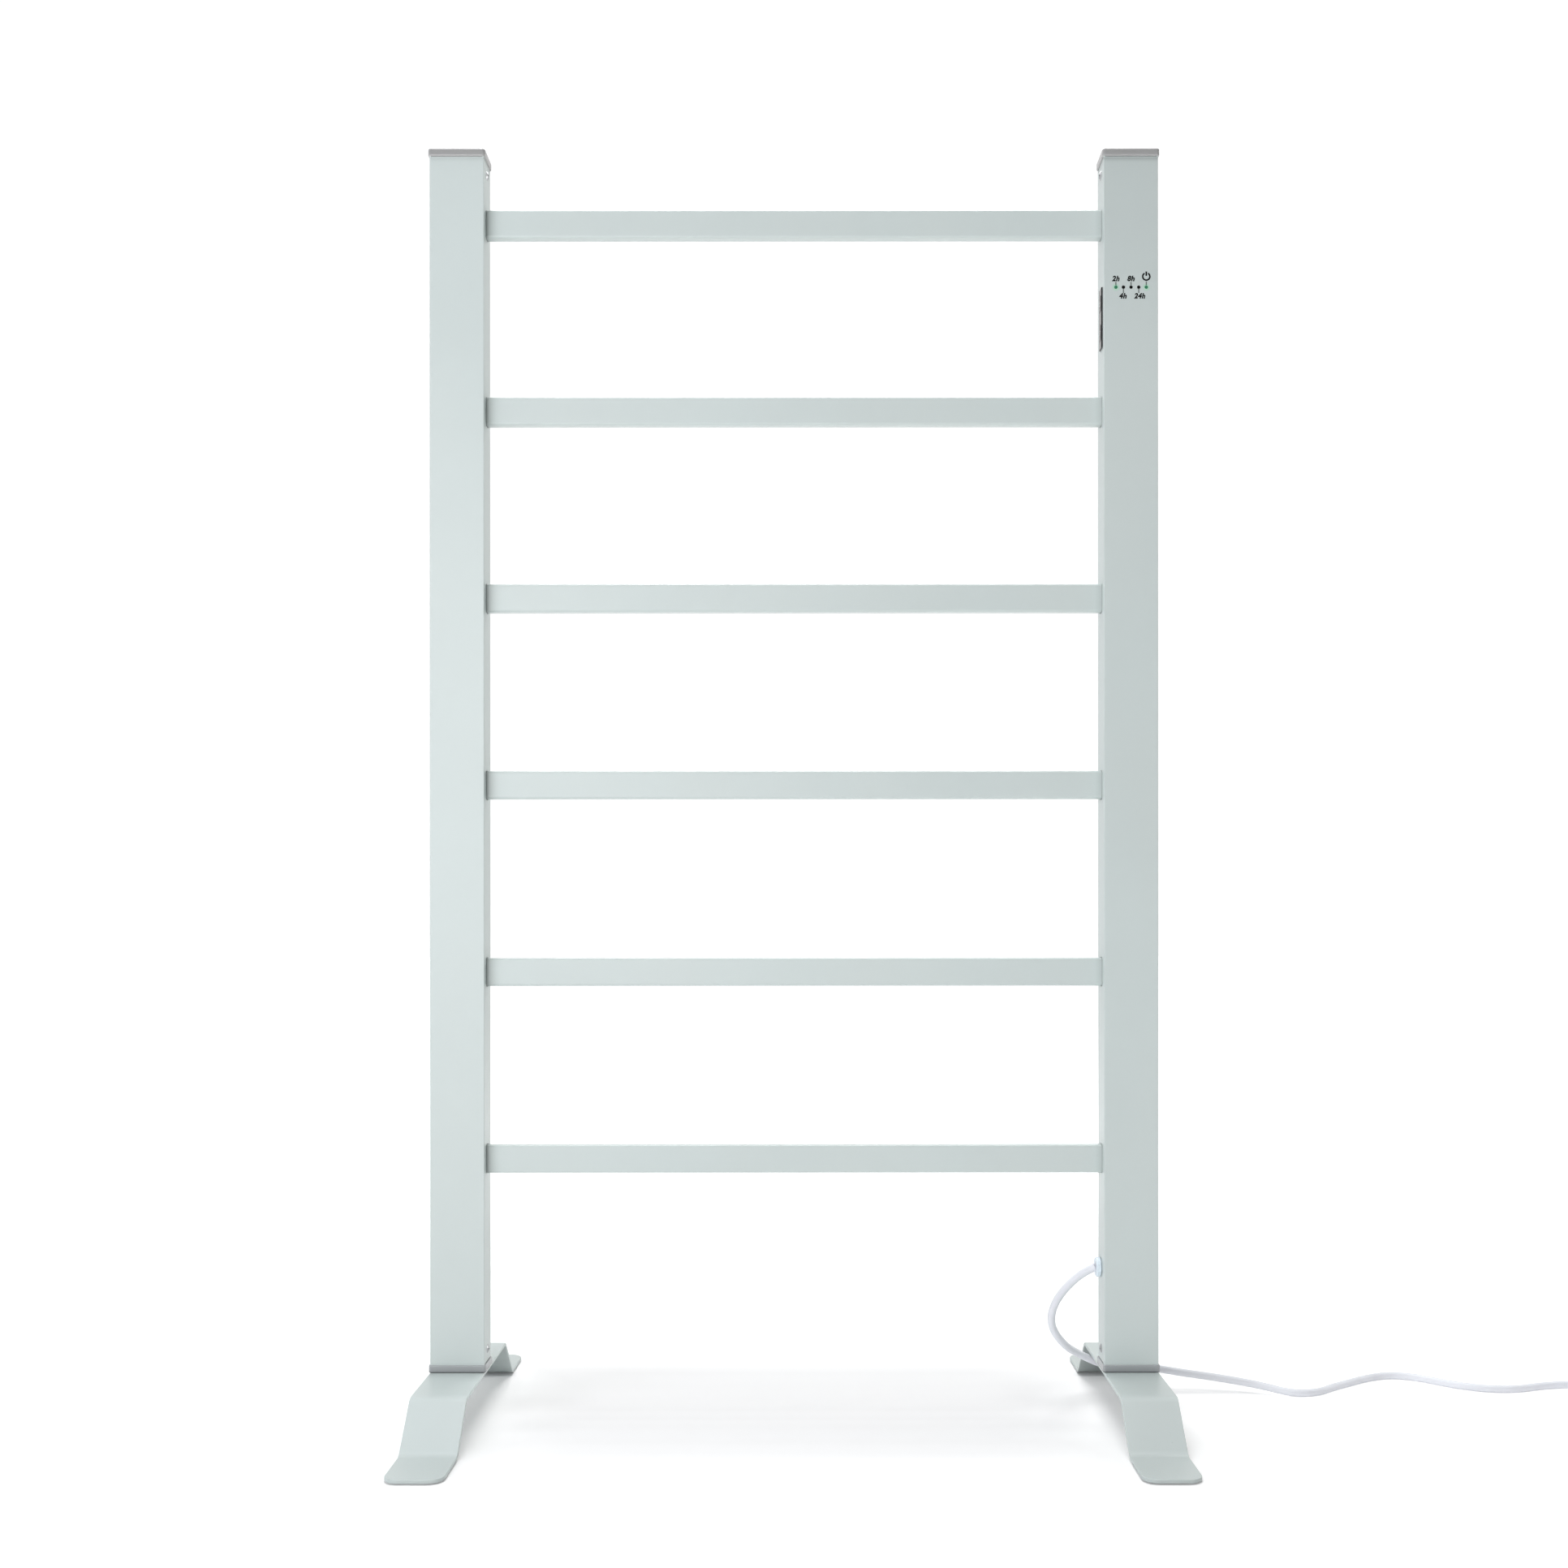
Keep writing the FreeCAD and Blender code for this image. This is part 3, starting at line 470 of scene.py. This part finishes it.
def circuit(name):
    m = Mat(name, rough=0.35)
    v = m.n("ShaderNodeTexBrick")
    v.inputs["Scale"].default_value = 260.0
    v.inputs["Color1"].default_value = srgb(22, 84, 50)
    v.inputs["Color2"].default_value = srgb(28, 98, 60)
    v.inputs["Mortar"].default_value = srgb(60, 130, 86)
    m.l(m.co, v.inputs["Vector"])
    m.color(v.outputs["Color"])
    m.rough(m.span(m.noise(600.0), 0.3, 0.7, 0.3, 0.45))
    return m.m


M_PAINT = paint("sage_paint")
# the two posts get different amounts of painted shadow under their caps; the right post also gets painted shade on its
# upper part
M_PAINT_POST = paint("sage_paint_post", top=0.09)
M_PAINT_LAMPS = paint("sage_paint_lamps", lamps=True, top=0.28, upper=0.11)
M_PAINT_BAR = paint("sage_paint_bar", bar=True)
# the two feet are lit and shaded copies of one paint, with painted shade and painted light in different amounts
M_PAINT_FOOT_L = paint("sage_paint_foot_l", shade=0.965, under=0.14, plate=0.22, toe=0.10)
M_PAINT_FOOT_R = paint("sage_paint_foot_r", shade=0.925, under=0.42, plate=0.08, toe=0.03)
# painted highlight along the cap's lower lip
M_CAP = rim("cap_plastic", CAP, ((918.6, 1.45), (919.0, 1.18), (919.7, 1.17), (920.4, 1.02), (924.0, 1.0)))
# painted shadow along the collar's lower edge, rising to a painted highlight towards its top
M_COLLAR = rim("collar_plastic", COLLAR, ((FOOT_TOP, 0.3), (FOOT_TOP + 0.55, 0.3), (FOOT_TOP + 0.9, 0.88), (FOOT_TOP + 5.4, 1.14)))
M_WHITE = moulded("white_plastic", srgb(228, 228, 224))
M_STEEL = metal("steel", srgb(176, 178, 180), 0.35)
M_SCREW = metal("screw_steel", srgb(178, 180, 182), 0.32)
M_SILICONE = moulded("silicone", srgb(196, 78, 60), rough=0.5)
M_PAD = rubber("pad_rubber", srgb(62, 64, 66))
M_PANEL = gloss_black("panel_gloss")
M_BUTTON = gloss_black("button_gloss")
M_BOARD = circuit("circuit_board")
M_BLACK = moulded("black_plastic", srgb(40, 40, 42), rough=0.45)
M_LIT = lamp("lamp_green", True)
M_DARK = lamp("lamp_black", False)
M_GROMMET = moulded("grommet_plastic", srgb(222, 234, 242), rough=0.3, depth=0.00001, vary=0.01)
M_CORD = pvc("cord_pvc", (0.785, 0.80, 0.845, 1.0))
M_PLUG = pvc("plug_pvc", (0.78, 0.79, 0.82, 1.0))
M_TIE = woven("tie_fabric", srgb(196, 197, 200))
M_PIN = metal("brass_pins", srgb(206, 196, 172), 0.22, brushed=(1.0, 0.1, 1.0))
M_INK = ink("print_black", srgb(6, 8, 8))
M_LINE = ink("print_grey", srgb(108, 116, 113))
M_MARK = ink("print_white", srgb(214, 216, 216))

cord.data.materials.append(M_CORD)

FINISH = {
    "sage_paint": M_PAINT, "cap_plastic": M_CAP, "white_plastic": M_WHITE, "steel": M_STEEL,
    "screw_steel": M_SCREW, "silicone": M_SILICONE, "pad_rubber": M_PAD, "panel_gloss": M_PANEL,
    "button_gloss": M_BUTTON, "circuit_board": M_BOARD, "black_plastic": M_BLACK, "lamp_green": M_LIT,
    "lamp_black": M_DARK, "grommet_plastic": M_GROMMET, "cord_pvc": M_CORD, "tie_fabric": M_TIE,
    "plug_pvc": M_PLUG, "brass_pins": M_PIN,
}
SLOTS = {
    "sage_paint": ["left_post", "right_post", "left_foot", "right_foot"] + ["bar_%d" % i for i in range(1, 7)],
    "cap_plastic": ["left_top_cap", "right_top_cap", "left_bottom_cap", "right_bottom_cap"],
    "white_plastic": ["terminal_block"],
    "steel": ["bar_pins", "nut_plates", "thermal_fuse"],
    "screw_steel": ["cap_screws", "earth_screw", "foot_bolts"],
    "silicone": ["heating_cable", "supply_lead"],
    "pad_rubber": ["foot_pads"],
    "panel_gloss": ["control_bezel"],
    "button_gloss": ["power_button", "timer_button"],
    "circuit_board": ["control_board", "lamp_board"],
    "black_plastic": ["left_bar_holders", "right_bar_holders", "button_switches", "board_relay"],
    "lamp_green": ["lit_lamps"],
    "lamp_black": ["unlit_lamps"],
    "grommet_plastic": ["cord_grommet"],
    "cord_pvc": ["cord_inner_end", "power_cord", "cord_coil", "cord_tail"],
    "tie_fabric": ["coil_tie"],
    "plug_pvc": ["plug_body"],
    "brass_pins": ["plug_pins"],
}
OWN = {"right_post": M_PAINT_LAMPS, "left_post": M_PAINT_POST, "left_bottom_cap": M_COLLAR, "right_bottom_cap": M_COLLAR}
OWN.update(("bar_%d" % i, M_PAINT_BAR) for i in range(1, 7))
OWN.update(left_foot=M_PAINT_FOOT_L, right_foot=M_PAINT_FOOT_R)
for slot, names in SLOTS.items():
    for name in names:
        mats = nodes[name].data.materials
        mats.clear()
        mats.append(OWN.get(name, FINISH[slot]))


# ------------------------------------------------------------------ mesh helpers
def add_mesh(name, verts, faces, material, body="frame", smooth=True):
    me = bpy.data.meshes.new(name)
    me.from_pydata([Vector(v) * MM for v in verts], [], faces)
    bm = bmesh.new()
    bm.from_mesh(me)
    bmesh.ops.remove_doubles(bm, verts=bm.verts, dist=1e-7)
    bmesh.ops.recalc_face_normals(bm, faces=bm.faces)
    bm.to_mesh(me)
    bm.free()
    for p in me.polygons:
        p.use_smooth = smooth
    me.materials.append(material)
    o = bpy.data.objects.new(name, me)
    scene.collection.objects.link(o)
    if smooth:
        me.set_sharp_from_angle(angle=math.radians(38.0))
    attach(o, body)
    return o


def rings(sections):
    """Joins rings of points with the same count into a closed skin with flat ends."""
    verts, faces = [], []
    n = len(sections[0])
    for s in sections:
        verts += s
    for i in range(len(sections) - 1):
        for k in range(n):
            a, b = i * n + k, i * n + (k + 1) % n
            faces.append((a, b, b + n, a + n))
    faces.append(tuple(range(n))[::-1])
    faces.append(tuple(range((len(sections) - 1) * n, len(sections) * n)))
    return verts, faces


class Build:
    def __init__(self):
        self.v, self.f = [], []

    def add(self, verts, faces):
        k = len(self.v)
        self.v += list(verts)
        self.f += [tuple(i + k for i in f) for f in faces]

    def slab(self, outline, to3d, thick):
        """A flat outline, counter-clockwise in 2D, as a thin closed slab."""
        n = len(outline)
        bottom = [to3d(x, y, 0.0) for x, y in outline]
        top = [to3d(x, y, thick) for x, y in outline]
        faces = [tuple(range(n))[::-1], tuple(range(n, 2 * n))]
        faces += [(k, (k + 1) % n, n + (k + 1) % n, n + k) for k in range(n)]
        self.add(bottom + top, faces)

    def band(self, centre, r0, r1, a0, a1, steps, to3d, thick):
        """Part of a ring as quads, so that it has no concave face."""
        cx, cy = centre
        vs, fs = [], []
        closed = abs(abs(a1 - a0) - 360.0) < 1e-6
        count = steps if closed else steps + 1
        for i in range(count):
            a = math.radians(a0 + (a1 - a0) * i / steps)
            c, s = math.cos(a), math.sin(a)
            for r in (r0, r1):
                for h in (0.0, thick):
                    vs.append(to3d(cx + r * c, cy + r * s, h))
        for i in range(steps):
            a, b = 4 * i, 4 * ((i + 1) % count)
            fs += [(a, a + 2, b + 2, b), (a + 1, b + 1, b + 3, a + 3),
                   (a, b, b + 1, a + 1), (a + 2, a + 3, b + 3, b + 2)]
        if not closed:
            e = 4 * steps
            fs += [(0, 1, 3, 2), (e, e + 2, e + 3, e + 1)]
        self.add(vs, fs)

    def rect(self, x0, x1, y0, y1, to3d, thick):
        self.slab([(x0, y0), (x1, y0), (x1, y1), (x0, y1)], to3d, thick)


# ------------------------------------------------------------------ printed marks on the post's front
FRONT_Y = -12.5
PRINT = 0.03


def on_front(x, z, h):
    return (x, FRONT_Y - h, z)


def label(text, cx, cz, height, width):
    """A sloping bold label as a flat printed mesh, scaled to height and width about its middle."""
    td = bpy.data.curves.new("label", "FONT")
    td.body = text
    td.size = 1.0
    td.shear = 0.22
    td.offset = 0.050
    td.space_character = 1.10
    td.resolution_u = 6
    td.extrude = 0.01
    to = bpy.data.objects.new("label", td)
    scene.collection.objects.link(to)
    bpy.context.view_layer.update()
    dg = bpy.context.evaluated_depsgraph_get()
    me = bpy.data.meshes.new_from_object(to.evaluated_get(dg))
    co = [v.co.copy() for v in me.vertices]
    x0, x1 = min(c.x for c in co), max(c.x for c in co)
    y0, y1 = min(c.y for c in co), max(c.y for c in co)
    verts = []
    for c in co:
        u = (c.x - (x0 + x1) / 2.0) / (x1 - x0) * width
        v = (c.y - (y0 + y1) / 2.0) / (y1 - y0) * height
        verts.append(on_front(cx + u, cz + v, PRINT * (0.5 + c.z / 0.02)))
    faces = [tuple(p.vertices) for p in me.polygons]
    bpy.data.objects.remove(to)
    bpy.data.curves.remove(td)
    bpy.data.meshes.remove(me)
    return verts, faces


marks = Build()
for text, cx, cz, w in (("2h", 234.2, 829.5, 5.6), ("8h", 245.3, 829.5, 5.45), ("4h", 239.4, 816.9, 5.6), ("24h", 251.6, 816.9, 8.2)):
    marks.add(*label(text, cx, cz, 4.1, w))
PX, PZ = 256.4, 830.9
marks.band((PX, PZ), 2.02, 3.20, 90.0 + 27.0, 90.0 + 333.0, 56, on_front, PRINT)
marks.rect(PX - 0.60, PX + 0.60, PZ + 0.5, PZ + 3.7, on_front, PRINT)
front_marks = add_mesh("front_marks", marks.v, marks.f, M_INK, smooth=False)
lines = Build()
for x, z0, z1 in ((234.3, 824.6, 827.0), (245.3, 824.6, 827.0), (256.4, 824.6, 827.3), (239.8, 819.0, 821.8), (250.9, 819.0, 821.8)):
    lines.rect(x - 0.42, x + 0.42, z0, z1, on_front, PRINT * 0.8)
front_lines = add_mesh("front_lines", lines.v, lines.f, M_LINE, smooth=False)

# ------------------------------------------------------------------ signs on the two buttons
BUTTON_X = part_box("power_button")[0].x / MM
PANEL_Y = (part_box("power_button")[0].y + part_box("power_button")[1].y) / 2.0 / MM


def on_button(y, z, h):
    return (BUTTON_X - h, y, z)


sign = Build()
sign.band((PANEL_Y, 814.2), 1.45, 1.85, 90.0 + 30.0, 90.0 + 330.0, 40, on_button, PRINT)
sign.rect(PANEL_Y - 0.2, PANEL_Y + 0.2, 814.2 + 0.3, 814.2 + 2.3, on_button, PRINT)
add_mesh("power_sign", sign.v, sign.f, M_MARK, body="power_button", smooth=False)
sign = Build()
sign.band((PANEL_Y, 792.8), 1.5, 1.9, 0.0, 360.0, 48, on_button, PRINT)
sign.rect(PANEL_Y - 0.17, PANEL_Y + 0.17, 792.8 - 0.17, 792.8 + 1.2, on_button, PRINT)
sign.rect(PANEL_Y + 0.17, PANEL_Y + 0.95, 792.8 - 0.17, 792.8 + 0.17, on_button, PRINT)
add_mesh("timer_sign", sign.v, sign.f, M_MARK, body="timer_button", smooth=False)


# ------------------------------------------------------------------ plug
def superellipse(cx, cz, y, a, b, n, count=48):
    found = []
    for k in range(count):
        t = 2.0 * math.pi * k / count
        c, s = math.cos(t), math.sin(t)
        x = math.copysign(abs(c) ** (2.0 / n), c) * a
        z = math.copysign(abs(s) ** (2.0 / n), s) * b
        found.append((cx + x, y, cz + z))
    return found


PLUG_X, PLUG_Z = 675.0, 11.55
FACE_Y, BODY_Y, BOOT_Y = -55.0, -31.0, -7.0
sections = []
for y, a, b, n in ((0.0, 13.3, 9.9, 3.2), (0.25, 14.1, 10.7, 3.2), (0.9, 14.75, 11.25, 3.3), (2.0, 15.0, 11.45, 3.4),
                   (6.5, 15.0, 11.45, 3.4), (7.0, 14.75, 11.2, 3.4), (7.5, 14.5, 10.95, 3.4), (8.0, 14.45, 10.9, 3.4)):
    sections.append((FACE_Y + y, a, b, n))
for i in range(6):
    y0 = FACE_Y + 8.6 + 2.2 * i
    k = 1.0 - 0.05 * i
    sections += [(y0, 14.3 * k, 10.75 * k, 3.3 - 0.1 * i), (y0 + 0.35, 13.5 * k, 10.0 * k, 3.3 - 0.1 * i),
                 (y0 + 1.1, 13.5 * k, 10.0 * k, 3.3 - 0.1 * i), (y0 + 1.45, 14.2 * k, 10.65 * k, 3.3 - 0.1 * i)]
sections += [(BODY_Y - 1.6, 10.2, 8.0, 2.6), (BODY_Y - 0.2, 9.1, 7.5, 2.4), (BODY_Y + 0.8, 7.4, 7.0, 2.1), (BODY_Y + 1.4, 7.0, 6.9, 2.0)]
for i in range(7):
    y0 = BODY_Y + 2.4 + 2.9 * i
    r = 6.9 - 0.43 * i
    sections += [(y0, r, r, 2.0), (y0 + 0.25, r - 0.75, r - 0.75, 2.0), (y0 + 1.15, r - 0.8, r - 0.8, 2.0), (y0 + 1.4, r - 0.12, r - 0.12, 2.0)]
sections += [(BOOT_Y - 0.9, 3.95, 3.95, 2.0), (BOOT_Y - 0.25, 3.8, 3.8, 2.0), (BOOT_Y - 0.02, 3.5, 3.5, 2.0)]
v, f = rings([superellipse(PLUG_X, PLUG_Z, y, a, b, n) for y, a, b, n in sections])
plug = add_mesh("mains_plug", v, f, M_PLUG)
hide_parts("plug_body")

# insulating sleeves on the two live pins
sleeves = Build()
for dx, dz, tilt in ((7.1, 6.86, 30.0), (7.1, -6.86, -30.0)):
    w, t = 3.2, 0.84
    c, s = math.cos(math.radians(tilt)), math.sin(math.radians(tilt))
    outline = []
    for ax, az, a0 in ((w - 0.4, t - 0.4, 0), (-w + 0.4, t - 0.4, 90), (-w + 0.4, -t + 0.4, 180), (w - 0.4, -t + 0.4, 270)):
        for k in range(5):
            a = math.radians(a0 + 22.5 * k)
            outline.append((ax + 0.4 * math.cos(a), az + 0.4 * math.sin(a)))

    def place(u, q, h, dx=dx, dz=dz, c=c, s=s):
        return (PLUG_X + dx + u * c + q * s, FACE_Y - 8.6 + h, PLUG_Z + dz - u * s + q * c)

    sleeves.slab(outline, place, 8.8)
pin_sleeves = add_mesh("pin_sleeves", sleeves.v, sleeves.f, M_WHITE)


# ------------------------------------------------------------------ tie round the coil
def strap(name, path, y0, y1, thick, material):
    """A strap of constant thickness along a path in the XZ plane, with softened long edges."""
    n = len(path)
    secs = []
    for i in range(n):
        a = Vector(path[max(i - 1, 0)])
        b = Vector(path[min(i + 1, n - 1)])
        d = (b - a).normalized()
        nx, nz = -d.y, d.x
        p = path[i]
        e = thick * 0.3
        prof = [(y0 + e, 0.0), (y1 - e, 0.0), (y1, e), (y1, thick - e), (y1 - e, thick), (y0 + e, thick), (y0, thick - e), (y0, e)]
        secs.append([(p[0] + nx * h, y, p[1] + nz * h) for y, h in prof])
    v, f = rings(secs)
    return v, f


def round_loop(x0, x1, z0, z1, r, steps=8):
    """Rounded rectangle in XZ, clockwise seen from -Y, from the middle of its top."""
    found = [((x0 + x1) / 2.0, z1)]
    for cx, cz, a0 in ((x1 - r, z1 - r, 90), (x1 - r, z0 + r, 0), (x0 + r, z0 + r, -90), (x0 + r, z1 - r, -180)):
        for k in range(steps + 1):
            a = math.radians(a0 - 90.0 * k / steps)
            found.append((cx + r * math.cos(a), cz + r * math.sin(a)))
    found.append(((x0 + x1) / 2.0, z1))
    return found


loop = round_loop(598.4, 616.6, 0.62, 12.5, 3.1)
tie = Build()
# once round the turns, then on over the top and down the outer side, where the tab is pressed on
tie.add(*strap("loop", [(x, z) for x, z in loop], COIL_Y - 6.0, COIL_Y + 6.0, 0.6, M_TIE))
r2 = 3.75
outer = []
for k in range(9):
    a = math.radians(180.0 - 90.0 * k / 8)
    outer.append((598.45 + r2 - 0.65 + r2 * math.cos(a) , 12.5 - 3.1 + r2 * math.sin(a)))
tab = [(597.80, 5.2), (597.78, 7.4)] + outer + [(608.0, 13.16), (612.0, 13.18), (614.6, 13.35)]
tie.add(*strap("tab", tab, COIL_Y - 6.0, COIL_Y + 6.0, 0.55, M_TIE))
cord_tie = add_mesh("cord_tie", tie.v, tie.f, M_TIE)
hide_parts("coil_tie")

# ------------------------------------------------------------------ floor and light
bm = bmesh.new()
bmesh.ops.create_grid(bm, x_segments=1, y_segments=1, size=14.0)
me = bpy.data.meshes.new("floor")
bm.to_mesh(me)
bm.free()
floor = bpy.data.objects.new("floor", me)
floor.location = (0.0, 0.0, -0.0001)
scene.collection.objects.link(floor)
m = Mat("floor_white", rough=0.9, spec=0.0)
m.color(m.mix(m.span(m.noise(3.0, 2.0), 0.3, 0.7, 0.0, 1.0), (0.905, 0.905, 0.905, 1.0), (0.915, 0.915, 0.915, 1.0)))
path = m.n("ShaderNodeLightPath")
seen = m.math("SUBTRACT", 1.0, path.outputs["Is Diffuse Ray"])
far = m.math("SUBTRACT", 1.0, m.near((0.0, 0.0, 0.0), 0.55, 1.5))
# camera-only emission paints light on the floor around the feet and along the cord, washing out their shadows, but not
# along the rear feet's contact line; the cord's strip also glows faintly for all rays, lighting the cord's underside
side, back_y = m.math("ABSOLUTE", m.axis(0)), m.axis(1)
beside = m.fade(side, 0.165, 0.265)
along = m.fade(m.math("ABSOLUTE", m.math("SUBTRACT", back_y, 0.02)), 0.05, 0.19)
heel = m.math("MAXIMUM", m.fade(side, 0.268, 0.276), m.fade(side, 0.219, 0.225, 1.0, 0.0))
heel = m.math("MAXIMUM", m.fade(m.math("ABSOLUTE", m.math("SUBTRACT", back_y, 0.107)), 0.003, 0.009), heel)
lift = m.math("MULTIPLY", m.math("MULTIPLY", m.math("MAXIMUM", beside, along), heel), 0.20)
strip = m.math("MULTIPLY", m.fade(m.axis(0), 0.32, 0.40), m.fade(m.axis(0), 0.60, 0.66, 1.0, 0.0))
strip = m.math("MULTIPLY", strip, m.math("MULTIPLY", m.fade(back_y, -0.10, -0.02), m.fade(back_y, 0.16, 0.24, 1.0, 0.0)))
# painted shade and painted light in bands across the floor between the feet, seen only by the camera
even = m.graph(back_y, [(y, e / 100.0) for y, e in (
    (-0.125, 0.0), (-0.11, -1.0), (-0.1, -2.6), (-0.09, -3.4), (-0.081, -2.4), (-0.073, -1.8), (-0.063, -2.4),
    (-0.05, -2.2), (-0.038, -0.3), (-0.026, 0.0), (-0.016, -1.8), (-0.006, -4.8), (0.004, -4.8), (0.0145, -1.8),
    (0.025, 2.0), (0.036, 3.4), (0.046, 3.0), (0.057, 2.2), (0.07, 1.6), (0.08, 0.8), (0.091, -0.8),
    (0.103, -2.6), (0.115, -4.4), (0.13, -3.0), (0.15, 0.0))])
even = m.math("MULTIPLY", even, m.fade(side, 0.14, 0.20, 1.0, 0.0))
seen_lift = m.math("MAXIMUM", lift, m.math("MULTIPLY", strip, 0.65))
seen_lift = m.math("MULTIPLY", m.math("ADD", seen_lift, even), m.camera_ray())
glow = m.math("ADD", m.math("MULTIPLY", m.math("MULTIPLY", far, 0.8), seen), m.math("ADD", seen_lift, m.math("MULTIPLY", strip, 0.09)))
m.l(glow, m.b.inputs["Emission Strength"])
m.b.inputs["Emission Color"].default_value = (1.0, 1.0, 1.0, 1.0)
me.materials.append(m.m)

world = bpy.data.worlds.new("studio")
scene.world = world
world.use_nodes = True
tree = world.node_tree
back = tree.nodes["Background"]
back.inputs["Color"].default_value = (1.0, 1.0, 1.0, 1.0)
rays = tree.nodes.new("ShaderNodeLightPath")
way = tree.nodes.new("ShaderNodeTexCoord")
parts = tree.nodes.new("ShaderNodeSeparateXYZ")
tree.links.new(way.outputs["Generated"], parts.inputs[0])


def blend(value, low_value, high_value, a=0.0, b=1.0):
    """low_value at a and high_value at b; either may be a number or a socket."""
    x = tree.nodes.new("ShaderNodeMapRange")
    x.interpolation_type = "SMOOTHSTEP"
    x.inputs["From Min"].default_value = a
    x.inputs["From Max"].default_value = b
    for key, v in (("To Min", low_value), ("To Max", high_value)):
        if isinstance(v, float):
            x.inputs[key].default_value = v
        else:
            tree.links.new(v, x.inputs[key])
    tree.links.new(value, x.inputs["Value"])
    return x.outputs[0]


# the paper behind: white to the eye and in reflections, a dimmer fill for everything else
backdrop = blend(rays.outputs["Is Glossy Ray"], 0.25, 1.0)
fill = blend(parts.outputs[1], 0.10, backdrop, -0.15, 0.15)
level = blend(rays.outputs["Is Camera Ray"], fill, 1.04)
tree.links.new(level, back.inputs["Strength"])


def softbox(azimuth, elevation, energy, tone):
    """A square soft light 2.6 m from the middle of the rack, turned to face it."""
    a, e = math.radians(azimuth), math.radians(elevation)
    target = Vector((0.0, 0.0, 0.45))
    place = target + Vector((math.sin(a) * math.cos(e), -math.cos(a) * math.cos(e), math.sin(e))) * 2.6
    ld = bpy.data.lights.new("softbox", "AREA")
    ld.shape = "SQUARE"
    ld.size = 1.3
    ld.energy = energy
    ld.color = tone
    lo = bpy.data.objects.new("softbox", ld)
    lo.location = place
    lo.rotation_euler = (target - place).to_track_quat("-Z", "Y").to_euler()
    lo.visible_camera = False
    scene.collection.objects.link(lo)


for azimuth, elevation, energy, tone in (
        (-45, 8, 15.0, (0.985, 1.0, 1.065)), (-15, 8, 22.5, (1.0, 1.0, 1.0)), (-60, 65, 11.2, (0.985, 1.0, 1.065)),
        (-110, 40, 2.3, (0.99, 1.0, 1.03)), (0, 89, 31.5, (1.0, 1.0, 1.0)), (60, 65, 2.9, (1.0, 1.0, 0.98)),
        (110, 8, 11.0, (1.0, 1.0, 0.97)), (180, 55, 30.0, (1.0, 1.0, 1.0))):
    softbox(azimuth, elevation, energy, tone)
